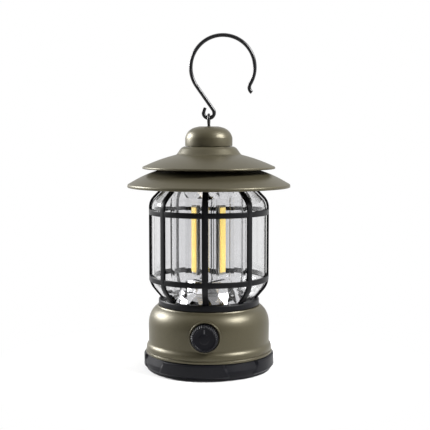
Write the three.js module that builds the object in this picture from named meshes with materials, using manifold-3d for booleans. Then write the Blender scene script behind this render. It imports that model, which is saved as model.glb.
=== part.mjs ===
// A retro camping lantern: an LED light column in a caged barrel shade under a two-tier hat with a hook,
// on a round base with a dimmer knob and a twist-off battery cover.
// Units are millimetres. +Z is up, the knob faces -Y, and the origin is the centre of the face it stands on.
// Azimuths are in degrees, 0 at the knob (-Y), growing towards +X.

import * as THREE from "three";
import { mergeVertices } from "three/addons/utils/BufferGeometryUtils.js";
import Module from "manifold-3d";

const wasm = await Module();
wasm.setup();

// ---- Driving dimensions ---------------------------------------------------------------------------------

const SEAT = 0.3; // gap between pieces that rest on each other
const RUNNING = 0.4; // radial gap round anything that turns
const ROUND = 40; // sides of a large turned piece
const SMALL_ROUND = 16; // sides of a small turned piece

// Battery cover, which is also the foot
const FOOT_LEDGE = 1.3; // how far the foot stands out from the base shell's flange
const FOOT_HEIGHT = 12.2;
const FOOT_WALL = 2.8;
const FOOT_LIFT = 0.5; // the ring stands this far above the table, on its pads
const FLOOR_UNDERSIDE = 1.6;
const FLOOR_THICKNESS = 1.8;
const GRIP_COUNT = 4;
const GRIP_PHASE = 33.5;
const GRIP_WIDTH = 22;
const GRIP_DEPTH = 1.9;
const PAD_RADIUS = 4.5;
const PAD_INSET = 12.2; // from the foot's edge to the middle of a pad

// Bayonet between the cover and the base shell
const LUG_COUNT = 3;
const LUG_DEPTH = 1.8;
const LUG_HEIGHT = 1.8;
const LUG_WIDTH = 20;
const SKIRT_WALL = 1.6;
const SKIRT_BOTTOM = 3.8;
const SKIRT_LUG_BOTTOM = 4.6;

// Base shell
const BASE_RADIUS = 44.8;
const BASE_TOP = 47.6;
const BASE_WALL = 1.8;
const FLANGE_STEP = 2.1; // how far its flange stands out from its wall
const NECK_STEP = 0.7; // how far its neck stands out from the cage's foot ring
const DECK_LEDGE = 1.6; // width of the ledge that carries the bottom reflector

// Dimmer and knob
const KNOB_RADIUS = 9.7;
const KNOB_HEIGHT = 31.3; // of its axis above the table
const KNOB_STANDOUT = 6.2; // of its face from the base shell
const KNOB_TEETH = 28;
const BOSS_RADIUS = 11.4;
const BOSS_STANDOUT = 0.9;
const WELL_DEPTH = 1.6;
const BUSHING_RADIUS = 3.5;
const SHAFT_RADIUS = 3;
const DIMMER_RADIUS = 8.2;
const DIMMER_DEPTH = 8;

// Batteries
const CELL_COUNT = 3;
const CELL_RADIUS = 7.1;
const CELL_LENGTH = 49.4;
const CELL_GAP = 1; // between neighbouring cells
const FLOOR_ROOM = 1.3; // between the cells and the cover's floor
const SPRING_ROOM = 4.2;
const TRAY_WALL = 1.6;
const CONTACT_THICKNESS = 0.5;
const TRAY_EAR = 5.2; // from the tray's end to the middle of its screw

// Cage
const CAGE_RADIUS = 44.4;
const CAGE_FOOT_RADIUS = 37.3;
const CAGE_FOOT_HEIGHT = 4.4;
const CAGE_CROWN_RADIUS = 35.4;
const CAGE_CROWN_HEIGHT = 4.4;
const CAGE_HEIGHT = 91.5; // from the underside of its foot ring to the top of its crown ring
const RIB_COUNT = 8;
const RIB_WIDTH = 4.2;
const RIB_THICKNESS = 1.7;
const HOOP_HEIGHT = 4;
const LOWER_HOOP = 65.8;
const UPPER_HOOP = 114.8;
const LIP_THICKNESS = 1.4;

// Light
const SHADE_WALL = 1.6;
const TUBE_RADIUS = 27.4;
const TUBE_WALL = 1.5;
const FLANGE_LEDGE = 2.7; // how far the reflectors' flanges stand out from the tube
const FLANGE_THICKNESS = 1.4;
const REFLECTOR_FACETS = 18;
const REFLECTOR_HEIGHT = 18.6;
const COLUMN_FACE = 11.4; // distance of its faces from the axis
const COLUMN_CORNER = 21;
const COLUMN_BORE = 4.5;
const LED_WIDTH = 8;
const LED_LENGTH = 48;
const LED_THICKNESS = 0.8;
const BOARD_WIDTH = 9.6;
const BOARD_LENGTH = 52;
const BOARD_THICKNESS = 1;
const BOARD_INSET = 0.6;

// Hat
const BRIM_RADIUS = 60;
const BRIM_DROP = 5; // of the rim's lower edge below the cage's crown
const BRIM_WALL = 1.6;
const TOP_BRIM_RADIUS = 48.9;
const HAT_NECK_HEIGHT = 6.4;
const DOME_RADIUS = 17.4;
const DOME_HEIGHT = 14.4;
const DOME_WALL = 1.5;

// Eye and hook
const EYE_RING = 3.6;
const EYE_WIRE = 1;
const EYE_SHANK = 1.2;
const EYE_HEIGHT = 5; // of the ring's centre above the dome
const HOOK_WIRE = 1.4;
const HOOK_LOOP = 3.9;
const HOOK_CROOK = 23.4;
const CROOK_ACROSS = 10.2; // place of the crook's centre from the eye's
const CROOK_UP = 36.8;

// Screws
const SCREW_RADIUS = 1.1;
const SCREW_HEAD = 2.5;
const SCREW_HEAD_HEIGHT = 1.6;
const SCREW_CLEARANCE = 0.3;

// ---- Radii that follow from them ------------------------------------------------------------------------

const FLANGE_RADIUS = BASE_RADIUS + FLANGE_STEP;
const FOOT_RADIUS = FLANGE_RADIUS + FOOT_LEDGE;
const COVER_BORE = FOOT_RADIUS - FOOT_WALL;
const SKIRT_RADIUS = COVER_BORE - LUG_DEPTH - 2 * SEAT;
const SKIRT_BORE = SKIRT_RADIUS - SKIRT_WALL;
const PAD_RING = FOOT_RADIUS - PAD_INSET;
const KNOB_FRONT = BASE_RADIUS + KNOB_STANDOUT; // these three are distances from the lantern's axis
const BOSS_FRONT = BASE_RADIUS + BOSS_STANDOUT;
const WELL_FLOOR = BASE_RADIUS - WELL_DEPTH;
const NECK_RADIUS = CAGE_FOOT_RADIUS + NECK_STEP;
const FLANGE_RING = TUBE_RADIUS + FLANGE_LEDGE;
const FLANGE_BORE = FLANGE_RING + SEAT;
const DECK_BORE = FLANGE_RING - DECK_LEDGE;
const LIP_BORE = TUBE_RADIUS + 0.5;
const CAGE_SCREW_RING = FLANGE_BORE + 2.8;
const CROWN_SCREW_RING = FLANGE_BORE + 2; // the brim's bosses hold the reflector's flange too
const CELL_PITCH = 2 * CELL_RADIUS + CELL_GAP;
const TRAY_POST_RING = CELL_LENGTH / 2 + SEAT + SPRING_ROOM + TRAY_WALL + TRAY_EAR;

// ---- Heights that follow from them ----------------------------------------------------------------------

const FLOOR_TOP = FLOOR_UNDERSIDE + FLOOR_THICKNESS;
const CELL_HEIGHT = FLOOR_TOP + FLOOR_ROOM + CELL_RADIUS; // of the cells' axes
const FLANGE_BOTTOM = FOOT_HEIGHT + SEAT;
const CAGE_BOTTOM = BASE_TOP + SEAT;
const CAGE_TOP = CAGE_BOTTOM + CAGE_HEIGHT;
const LOWER_LIP_TOP = CAGE_BOTTOM + FLANGE_THICKNESS + SEAT + LIP_THICKNESS;
const UPPER_LIP_TOP = CAGE_TOP - FLANGE_THICKNESS - SEAT;
const UPPER_LIP_BOTTOM = UPPER_LIP_TOP - LIP_THICKNESS;
const COLUMN_BOTTOM = CAGE_BOTTOM + REFLECTOR_HEIGHT + SEAT;
const COLUMN_TOP = CAGE_TOP - REFLECTOR_HEIGHT + 5;
const RIM_BOTTOM = CAGE_TOP - BRIM_DROP;
const HUB_BOTTOM = RIM_BOTTOM + 14.6;
const NECK_TOP = HUB_BOTTOM + BRIM_WALL + HAT_NECK_HEIGHT;
const HAT_FLOOR = NECK_TOP + SEAT;
const TOP_RIM_BOTTOM = HAT_FLOOR - 9.2;
const COLLAR_TOP = HAT_FLOOR + 7.2;
const DOME_BOTTOM = COLLAR_TOP + SEAT;
const DOME_TOP = DOME_BOTTOM + DOME_HEIGHT;
const EYE_CENTRE = DOME_TOP + EYE_HEIGHT;
const HOOK_PIVOT = EYE_CENTRE + EYE_RING - EYE_WIRE - HOOK_WIRE - SEAT; // seated inside the ring
const HAT_SCREW_RING = 11.6;
const HUB_TOP = HUB_BOTTOM + BRIM_WALL;
const HAT_BORE = 5;
const SPACER_RADIUS = 25.6;
const CROWN_SCREW_SEAT = CAGE_TOP + SEAT + 3;

// ---- Colours --------------------------------------------------------------------------------------------

const finish = (color, roughness, metalness, more = {}) =>
  new THREE.MeshStandardMaterial({ color, roughness, metalness, ...more });
const OLIVE_PAINT = finish(0x6f6a55, 0.38, 0.6);
const BLACK_PLASTIC = finish(0x1b1b1d, 0.55, 0);
const BLACK_WIRE = finish(0x141414, 0.4, 0.7);
const CLEAR_PLASTIC = finish(0xdcdce0, 0.05, 0, { transparent: true, opacity: 0.3 });
const MIRROR_CHROME = finish(0xe8e8ea, 0.05, 1);
const LED_YELLOW = finish(0xf2c64b, 0.5, 0);
const BOARD_WHITE = finish(0xe6e6e2, 0.5, 0);
const BOARD_GREEN = finish(0x2c5a3a, 0.5, 0);
const STEEL = finish(0xb8babd, 0.3, 1);
const RUBBER = finish(0x202022, 0.9, 0);
const CELL_SLEEVE = finish(0x3b5f8a, 0.35, 0.3);
const RED_LEAD = finish(0xa8231d, 0.5, 0);

// ---- Making solids --------------------------------------------------------------------------------------

const radians = THREE.MathUtils.degToRad;

// A closed geometry as a manifold-3d solid, with its faces pointing out.
function solid(geometry) {
  const bare = geometry.index ? geometry.toNonIndexed() : geometry.clone();
  bare.deleteAttribute("normal");
  bare.deleteAttribute("uv");
  const merged = mergeVertices(bare, 1e-3);
  const triVerts = new Uint32Array(merged.index.array);
  const vertProperties = merged.attributes.position.array;
  const make = () => new wasm.Manifold(new wasm.Mesh({ numProp: 3, vertProperties, triVerts }));
  const made = make();
  if (made.volume() > 0) return made;
  for (let i = 0; i < triVerts.length; i += 3) {
    [triVerts[i + 1], triVerts[i + 2]] = [triVerts[i + 2], triVerts[i + 1]];
  }
  return make();
}

const join = (...solids) => solids.flat().reduce((whole, piece) => whole.add(piece));
const cut = (body, ...tools) => tools.flat().reduce((whole, tool) => whole.subtract(tool), body);

// Moves or turns a copy of a solid: turn is in degrees about Z, move in millimetres.
const moved = (body, x, y, z) => body.translate([x, y, z]);
const turned = (body, azimuth) => body.rotate([0, 0, azimuth]);
const aroundAxis = (body, count, phase = 0) =>
  Array.from({ length: count }, (_, i) => turned(body, phase + (i * 360) / count));

// A solid of revolution about Z from [radius, height] points, which close on themselves or on the axis.
function revolve(outline, sides = ROUND) {
  const points = outline.map(([r, z]) => new THREE.Vector2(r, z));
  if (points[0].x > 0 || points.at(-1).x > 0) points.push(points[0].clone());
  return solid(new THREE.LatheGeometry(points, sides).rotateX(Math.PI / 2));
}

const ring = (inner, outer, bottom, top, sides = ROUND) =>
  revolve([[inner, bottom], [outer, bottom], [outer, top], [inner, top]], sides);

const disc = (radius, bottom, top, sides = SMALL_ROUND) =>
  revolve([[0, bottom], [radius, bottom], [radius, top], [0, top]], sides);

// A box from its lowest corner to its highest one.
function block([x0, y0, z0], [x1, y1, z1]) {
  const box = new THREE.BoxGeometry(x1 - x0, y1 - y0, z1 - z0);
  return solid(box.translate((x0 + x1) / 2, (y0 + y1) / 2, (z0 + z1) / 2));
}

// A cylinder along Y, between two distances in front of the lantern's axis.
function rodForward(radius, near, far, height, sides = SMALL_ROUND) {
  const rod = new THREE.CylinderGeometry(radius, radius, far - near, sides);
  return solid(rod.translate(0, -(near + far) / 2, height));
}

// A piece of a ring, width degrees wide, centred on an azimuth.
function arcBlock(inner, outer, bottom, top, azimuth, width, steps = 4) {
  const from = radians(azimuth - 90 - width / 2);
  const to = radians(azimuth - 90 + width / 2);
  const shape = new THREE.Shape();
  shape.absarc(0, 0, outer, from, to, false);
  shape.absarc(0, 0, inner, to, from, true);
  const settings = { depth: top - bottom, bevelEnabled: false, curveSegments: steps };
  return solid(new THREE.ExtrudeGeometry(shape, settings).translate(0, 0, bottom));
}

// [radius, height] points along straight lines and rounded corners: a corner is { at, round }, cut back by round.
function outlineOf(stops, steps = 5) {
  const points = [];
  const placeOf = (stop) => new THREE.Vector2(...(Array.isArray(stop) ? stop : stop.at));
  stops.forEach((stop, i) => {
    if (Array.isArray(stop)) return points.push(stop);
    const at = placeOf(stop);
    const towards = (other, length) => at.clone().add(placeOf(other).sub(at).setLength(length));
    const before = towards(stops[i - 1], stop.round);
    const after = towards(stops[i + 1], stop.round);
    const bend = new THREE.QuadraticBezierCurve(before, at, after);
    bend.getPoints(steps).forEach((p) => points.push([p.x, p.y]));
  });
  return points;
}

// The same outline moved to its left by a distance, as a second face of a wall.
function offsetOutline(points, distance) {
  return points.map(([r, z], i) => {
    const [r0, z0] = points[Math.max(0, i - 1)];
    const [r1, z1] = points[Math.min(points.length - 1, i + 1)];
    const along = new THREE.Vector2(r1 - r0, z1 - z0).normalize();
    return [r - along.y * distance, z + along.x * distance];
  });
}

// A closed outline of a wall: its outer face as given, and an inner face with plainer corners.
const wallOf = (stops, thickness, steps = 3) => [
  ...outlineOf(stops, steps),
  ...offsetOutline(outlineOf(stops, 2), thickness).reverse(),
];

// A round bar along a curve, closed at both ends.
function bar(path, radius, steps, sides) {
  const section = new THREE.Shape();
  for (let i = 0; i < sides; i++) {
    const a = (i / sides) * 2 * Math.PI;
    section[i ? "lineTo" : "moveTo"](radius * Math.cos(a), radius * Math.sin(a));
  }
  return solid(new THREE.ExtrudeGeometry(section, { steps, bevelEnabled: false, extrudePath: path }));
}

// A pan-head screw pointing up, with the underside of its head at height 0.
function screw(length) {
  const head = disc(SCREW_HEAD, -SCREW_HEAD_HEIGHT, 0, 10);
  const shank = disc(SCREW_RADIUS, -SCREW_HEAD_HEIGHT / 2, length, 8);
  const driver = block([-1.5, -0.35, -SCREW_HEAD_HEIGHT - 1], [1.5, 0.35, -SCREW_HEAD_HEIGHT + 0.6]);
  const cross = join(driver, turned(driver, 90));
  return cut(join(head, shank), cross);
}
const screwHole = (length) => disc(SCREW_RADIUS + SCREW_CLEARANCE, 0, length, 8);

const lantern = new THREE.Group();

// Adds a solid to the lantern as a named mesh, without the slivers that cutting leaves.
function part(name, body, material) {
  const made = body.asOriginal().simplify(0.004).getMesh();
  const geometry = new THREE.BufferGeometry();
  geometry.setAttribute("position", new THREE.BufferAttribute(made.vertProperties, 3));
  geometry.setIndex(new THREE.BufferAttribute(made.triVerts, 1));
  geometry.computeVertexNormals();
  const mesh = new THREE.Mesh(geometry, material);
  mesh.name = name;
  lantern.add(mesh);
}

// ---- Battery cover, bayonet and foot --------------------------------------------------------------------

const COVER_LUG_BOTTOM = SKIRT_LUG_BOTTOM + LUG_HEIGHT + RUNNING;

function batteryCover() {
  const body = revolve([
    [0, FLOOR_UNDERSIDE],
    [FOOT_RADIUS - 4.7, FLOOR_UNDERSIDE],
    [FOOT_RADIUS - 4.7, FOOT_LIFT],
    [FOOT_RADIUS - 2, FOOT_LIFT],
    [FOOT_RADIUS - 2, FOOT_LIFT + 1.2],
    [FOOT_RADIUS, FOOT_LIFT + 3],
    [FOOT_RADIUS, FOOT_HEIGHT - 2],
    [FOOT_RADIUS - 0.4, FOOT_HEIGHT - 0.8],
    [FLANGE_RADIUS, FOOT_HEIGHT],
    [COVER_BORE, FOOT_HEIGHT],
    [COVER_BORE, FLOOR_TOP],
    [0, FLOOR_TOP],
  ]);
  const gripFace = revolve([
    [FOOT_RADIUS - GRIP_DEPTH, -1],
    [FOOT_RADIUS + 5, -1],
    [FOOT_RADIUS + 5, FOOT_HEIGHT + 5],
    [FLANGE_RADIUS - 0.3, FOOT_HEIGHT + 5],
    [FLANGE_RADIUS - 0.3, FOOT_HEIGHT - 0.6],
    [FOOT_RADIUS - 0.7, FOOT_HEIGHT * 0.55],
    [FOOT_RADIUS - GRIP_DEPTH, FOOT_HEIGHT * 0.35],
  ]);
  const grip = gripFace.intersect(
    arcBlock(FOOT_RADIUS - 6, FOOT_RADIUS + 4, -1, FOOT_HEIGHT + 2, 0, GRIP_WIDTH),
  );
  const lug = arcBlock(
    COVER_BORE - LUG_DEPTH,
    COVER_BORE + 0.5,
    COVER_LUG_BOTTOM,
    COVER_LUG_BOTTOM + LUG_HEIGHT,
    0,
    LUG_WIDTH,
  );
  const grips = aroundAxis(grip, GRIP_COUNT, GRIP_PHASE);
  return cut(join(body, aroundAxis(lug, LUG_COUNT, 60)), grips);
}

part("battery_cover", batteryCover(), BLACK_PLASTIC);

for (let i = 0; i < GRIP_COUNT; i++) {
  const pad = disc(PAD_RADIUS, 0, FLOOR_UNDERSIDE - SEAT);
  part(`foot_pad_${i + 1}`, turned(moved(pad, 0, -PAD_RING, 0), 45 + i * 90), RUBBER);
}

part(
  "cover_gasket",
  ring(SKIRT_RADIUS + SEAT, COVER_BORE - SEAT, FLANGE_BOTTOM - SEAT - 1.6, FLANGE_BOTTOM - SEAT),
  RUBBER,
);

// ---- Base shell -----------------------------------------------------------------------------------------

function baseShell() {
  const outside = outlineOf([
    [FLANGE_RADIUS, FLANGE_BOTTOM],
    [FLANGE_RADIUS, FLANGE_BOTTOM + 1.6],
    [FLANGE_RADIUS - 0.5, FLANGE_BOTTOM + 2.1],
    { at: [FLANGE_RADIUS - 0.5, FLANGE_BOTTOM + 5.6], round: 1.4 },
    { at: [BASE_RADIUS, FLANGE_BOTTOM + 7.6], round: 1.4 },
    { at: [BASE_RADIUS, BASE_TOP - 1], round: 9.5 },
    [NECK_RADIUS + 0.5, BASE_TOP - 1],
    [NECK_RADIUS, BASE_TOP],
  ], 3);
  const inside = outlineOf([
    [DECK_BORE, BASE_TOP],
    [DECK_BORE, BASE_TOP - BASE_WALL],
    [NECK_RADIUS - 2, BASE_TOP - BASE_WALL],
    { at: [BASE_RADIUS - BASE_WALL, BASE_TOP - 1 - BASE_WALL], round: 7 },
    [BASE_RADIUS - BASE_WALL, FLANGE_BOTTOM + 8],
    [SKIRT_BORE, FLANGE_BOTTOM + 4],
    [SKIRT_BORE, SKIRT_BOTTOM],
    [SKIRT_RADIUS, SKIRT_BOTTOM],
    [SKIRT_RADIUS, FLANGE_BOTTOM],
  ], 3);
  const wall = revolve([...outside, ...inside]);
  const lug = arcBlock(
    SKIRT_RADIUS - 0.5,
    SKIRT_RADIUS + LUG_DEPTH,
    SKIRT_LUG_BOTTOM,
    SKIRT_LUG_BOTTOM + LUG_HEIGHT,
    0,
    LUG_WIDTH + 2,
  );
  const lugStop = arcBlock(
    SKIRT_RADIUS - 0.5,
    SKIRT_RADIUS + LUG_DEPTH,
    SKIRT_LUG_BOTTOM,
    COVER_LUG_BOTTOM + LUG_HEIGHT,
    LUG_WIDTH / 2 + 2.2,
    3,
    2,
  );
  const post = disc(3.2, CELL_HEIGHT + CELL_RADIUS + TRAY_WALL + 2 * SEAT, BASE_TOP - 1, 16);
  const posts = [90, -90].map((azimuth) => turned(moved(post, 0, -TRAY_POST_RING, 0), azimuth));
  const boss = cut(
    rodForward(BOSS_RADIUS, WELL_FLOOR - 2.6, BOSS_FRONT, KNOB_HEIGHT, 28),
    rodForward(KNOB_RADIUS + 0.7, WELL_FLOOR, BOSS_FRONT + 1, KNOB_HEIGHT, 28),
  );
  const window = rodForward(KNOB_RADIUS + 0.7, WELL_FLOOR, BOSS_FRONT + 1, KNOB_HEIGHT, 28);
  const shaftHole = rodForward(BUSHING_RADIUS + SEAT, WELL_FLOOR - 4, BOSS_FRONT, KNOB_HEIGHT);
  const cageHole = moved(screwHole(4), 0, -CAGE_SCREW_RING, BASE_TOP - BASE_WALL - 1);
  const trayHole = moved(screwHole(9), 0, -TRAY_POST_RING, CELL_HEIGHT + CELL_RADIUS);
  return cut(
    join(cut(wall, window), boss, posts, aroundAxis(join(lug, lugStop), LUG_COUNT, 60)),
    shaftHole,
    aroundAxis(cageHole, 4, 45),
    aroundAxis(trayHole, 2, 90),
  );
}

part("base_shell", baseShell(), OLIVE_PAINT);

// ---- Dimmer and knob ------------------------------------------------------------------------------------

const DIMMER_FRONT = WELL_FLOOR - 2.6 - SEAT;
const DIMMER_BACK = DIMMER_FRONT - DIMMER_DEPTH;
const NUT_FRONT = WELL_FLOOR + SEAT + 2;

part(
  "dimmer",
  cut(
    join(
      rodForward(DIMMER_RADIUS, DIMMER_BACK, DIMMER_FRONT, KNOB_HEIGHT, 24),
      rodForward(BUSHING_RADIUS, DIMMER_FRONT - 1, NUT_FRONT + 0.4, KNOB_HEIGHT),
    ),
    rodForward(SHAFT_RADIUS + SEAT, DIMMER_BACK + 2, NUT_FRONT + 1, KNOB_HEIGHT),
  ),
  STEEL,
);

part(
  "dimmer_nut",
  cut(
    rodForward(5.6, WELL_FLOOR + SEAT, NUT_FRONT, KNOB_HEIGHT, 6),
    rodForward(BUSHING_RADIUS + SEAT, WELL_FLOOR, NUT_FRONT + 1, KNOB_HEIGHT),
  ),
  STEEL,
);

part("dimmer_shaft", rodForward(SHAFT_RADIUS, DIMMER_BACK + 2.5, KNOB_FRONT - 1.6, KNOB_HEIGHT), STEEL);

function controlKnob() {
  const outline = new THREE.Shape();
  for (let i = 0; i < KNOB_TEETH * 2; i++) {
    const a = (i / (KNOB_TEETH * 2)) * 2 * Math.PI;
    const r = i % 2 ? KNOB_RADIUS - 0.4 : KNOB_RADIUS;
    outline[i ? "lineTo" : "moveTo"](r * Math.cos(a), r * Math.sin(a));
  }
  const back = WELL_FLOOR + RUNNING;
  const length = KNOB_FRONT - 1.2 - back;
  const knurl = new THREE.ExtrudeGeometry(outline, { depth: length, bevelEnabled: false });
  const grip = solid(knurl.rotateX(Math.PI / 2).translate(0, -back, KNOB_HEIGHT));
  const faceProfile = new THREE.CylinderGeometry(KNOB_RADIUS - 1.2, KNOB_RADIUS - 0.2, 1.2, 40);
  const face = solid(faceProfile.rotateX(Math.PI).translate(0, -(KNOB_FRONT - 0.6), KNOB_HEIGHT));
  const overlap = rodForward(KNOB_RADIUS - 1.2, KNOB_FRONT - 2, KNOB_FRONT - 0.6, KNOB_HEIGHT, 40);
  const nutRoom = rodForward(7.4, back - 1, NUT_FRONT + 1, KNOB_HEIGHT);
  const bore = rodForward(SHAFT_RADIUS + SEAT, back - 1, KNOB_FRONT - 1.6 + SEAT, KNOB_HEIGHT);
  return cut(join(grip, face, overlap), nutRoom, bore);
}

part("control_knob", controlKnob(), BLACK_PLASTIC);

const BOARD_BACK = DIMMER_BACK - SEAT - 1.6;
part(
  "driver_board",
  block([-15, -(DIMMER_BACK - SEAT), KNOB_HEIGHT - 8], [15, -BOARD_BACK, KNOB_HEIGHT + 12]),
  BOARD_GREEN,
);

// ---- Battery tray, cells and contacts -------------------------------------------------------------------

const CELL_END = CELL_LENGTH / 2 + SEAT;
const BAY_END = CELL_END + SPRING_ROOM;
const BAY_SIDE = (CELL_COUNT * CELL_PITCH) / 2;
const TRAY_CEILING = CELL_HEIGHT + CELL_RADIUS + SEAT;
const TRAY_TOP = TRAY_CEILING + TRAY_WALL;
const TRAY_BOTTOM = FLOOR_TOP + 0.8;
const CONTACT_WIDTH = 11;
const CONTACT_TOP = TRAY_TOP + 1.4;
const cellY = (i) => (i - (CELL_COUNT - 1) / 2) * CELL_PITCH;

// Each contact spans one cell or bridges two: end is +1 or -1 along X, from and to are cell numbers.
const CONTACTS = [
  { name: "contact_positive", end: 1, from: 0, to: 0 },
  { name: "contact_bridge_1", end: -1, from: 0, to: 1 },
  { name: "contact_bridge_2", end: 1, from: 1, to: 2 },
  { name: "contact_negative", end: -1, from: 2, to: 2 },
];

function contactBox({ end, from, to }, room) {
  const near = BAY_END - SEAT - CONTACT_THICKNESS - room;
  const far = BAY_END - SEAT + room;
  const xs = [end * near, end * far].sort((a, b) => a - b);
  const y0 = cellY(from) - CONTACT_WIDTH / 2 - room;
  const y1 = cellY(to) + CONTACT_WIDTH / 2 + room;
  return block([xs[0], y0, CELL_HEIGHT - 5 - room], [xs[1], y1, CONTACT_TOP + room]);
}

function batteryTray() {
  const shell = block(
    [-BAY_END - TRAY_WALL, -BAY_SIDE - TRAY_WALL, TRAY_BOTTOM],
    [BAY_END + TRAY_WALL, BAY_SIDE + TRAY_WALL, TRAY_TOP],
  );
  const bay = block([-BAY_END, -BAY_SIDE, TRAY_BOTTOM - 1], [BAY_END, BAY_SIDE, TRAY_CEILING]);
  const divider = block([-CELL_END + 6, -0.4, CELL_HEIGHT + 2], [CELL_END - 6, 0.4, TRAY_CEILING + 0.5]);
  const dividers = [-0.5, 0.5].map((half) => moved(divider, 0, half * CELL_PITCH, 0));
  const ear = block([BAY_END, -4.5, TRAY_CEILING], [TRAY_POST_RING + 3.2, 4.5, TRAY_TOP]);
  const earHole = moved(screwHole(8), 0, -TRAY_POST_RING, TRAY_CEILING - 3);
  const ears = [ear, ear.rotate([0, 0, 180])];
  const slots = CONTACTS.map((contact) => contactBox(contact, SEAT));
  const withinSkirt = disc(SKIRT_BORE - RUNNING, TRAY_BOTTOM - 1, TRAY_TOP + 1, ROUND);
  const walls = cut(shell, bay).intersect(withinSkirt);
  return cut(join(walls, dividers, ears), aroundAxis(earHole, 2, 90), slots);
}

part("battery_tray", batteryTray(), BLACK_PLASTIC);
CONTACTS.forEach((contact) => part(contact.name, contactBox(contact, 0), STEEL));

// A compression spring in front of a contact, wound along X and narrowing towards its cell.
class SpringCurve extends THREE.Curve {
  getPoint(t, target = new THREE.Vector3()) {
    const a = t * SPRING_TURNS * 2 * Math.PI;
    const r = THREE.MathUtils.lerp(4, 2.4, t);
    return target.set(t * SPRING_LENGTH, r * Math.cos(a), r * Math.sin(a));
  }
}
const SPRING_TURNS = 3;
const SPRING_WIRE = 0.4;
const SPRING_LENGTH = SPRING_ROOM - CONTACT_THICKNESS - 3 * SEAT - 2 * SPRING_WIRE;

for (let i = 0; i < CELL_COUNT; i++) {
  const positiveEnd = i % 2 ? -1 : 1;
  const can = revolve(
    outlineOf([
      [0, -CELL_LENGTH / 2],
      [CELL_RADIUS - 0.6, -CELL_LENGTH / 2],
      [CELL_RADIUS, -CELL_LENGTH / 2 + 0.6],
      [CELL_RADIUS, CELL_LENGTH / 2 - 1.8],
      [CELL_RADIUS - 0.6, CELL_LENGTH / 2 - 1.2],
      [2.7, CELL_LENGTH / 2 - 1.2],
      [2.7, CELL_LENGTH / 2],
      [0, CELL_LENGTH / 2],
    ]),
    16,
  );
  const cell = can.rotate([0, 90 * positiveEnd, 0]);
  part(`battery_cell_${i + 1}`, moved(cell, 0, cellY(i), CELL_HEIGHT), CELL_SLEEVE);
  const coil = bar(new SpringCurve(), SPRING_WIRE, 26, 5);
  const contactFace = BAY_END - SEAT - CONTACT_THICKNESS;
  const root = contactFace - SEAT - SPRING_WIRE;
  const facing = positiveEnd > 0 ? coil : coil.rotate([0, 0, 180]);
  part(`battery_spring_${i + 1}`, moved(facing, -positiveEnd * root, cellY(i), CELL_HEIGHT), STEEL);
}

for (const [i, azimuth] of [90, -90].entries()) {
  const fixing = moved(screw(8), 0, -TRAY_POST_RING, TRAY_CEILING - SEAT);
  part(`tray_screw_${i + 1}`, turned(fixing, azimuth), STEEL);
}

// ---- Cage, in two halves that close round the shade -----------------------------------------------------

// The outer edge of a rib, from the foot ring to the crown ring.
const RIB_OUTER = outlineOf([
  [CAGE_FOOT_RADIUS - 2.4, CAGE_BOTTOM + 3.8],
  { at: [CAGE_RADIUS, CAGE_BOTTOM + 15], round: 5.6 },
  { at: [CAGE_RADIUS, CAGE_TOP - 14.8], round: 5 },
  [CAGE_CROWN_RADIUS - 2.6, CAGE_TOP - 3.1],
], 3);

const cageRibs = () => {
  const [first, ...rest] = wallOf(RIB_OUTER, RIB_THICKNESS);
  const shape = new THREE.Shape().moveTo(...first);
  rest.forEach((point) => shape.lineTo(...point));
  const strap = new THREE.ExtrudeGeometry(shape, { depth: RIB_WIDTH, bevelEnabled: false });
  const rib = solid(strap.translate(0, 0, -RIB_WIDTH / 2).rotateX(Math.PI / 2));
  return aroundAxis(rib, RIB_COUNT);
};

// The inside of the ribs, moved inwards by a clearance and cut level between the lips of the two rings.
function shadeSide(clearance, low = LOWER_LIP_TOP, high = UPPER_LIP_BOTTOM) {
  const face = offsetOutline(RIB_OUTER, RIB_THICKNESS + clearance);
  const radiusAt = ([r0, z0], [r1, z1], z) => r0 + ((r1 - r0) * (z - z0)) / (z1 - z0);
  const within = face.filter(([, z]) => z > low && z < high);
  const first = face.indexOf(within[0]);
  const last = face.indexOf(within.at(-1));
  const below = first > 0 ? [face[first - 1], face[first]] : [face[0], face[1]];
  const above = last < face.length - 1 ? [face[last], face[last + 1]] : [face.at(-2), face.at(-1)];
  return [[radiusAt(...below, low), low], ...within, [radiusAt(...above, high), high]];
}

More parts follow.
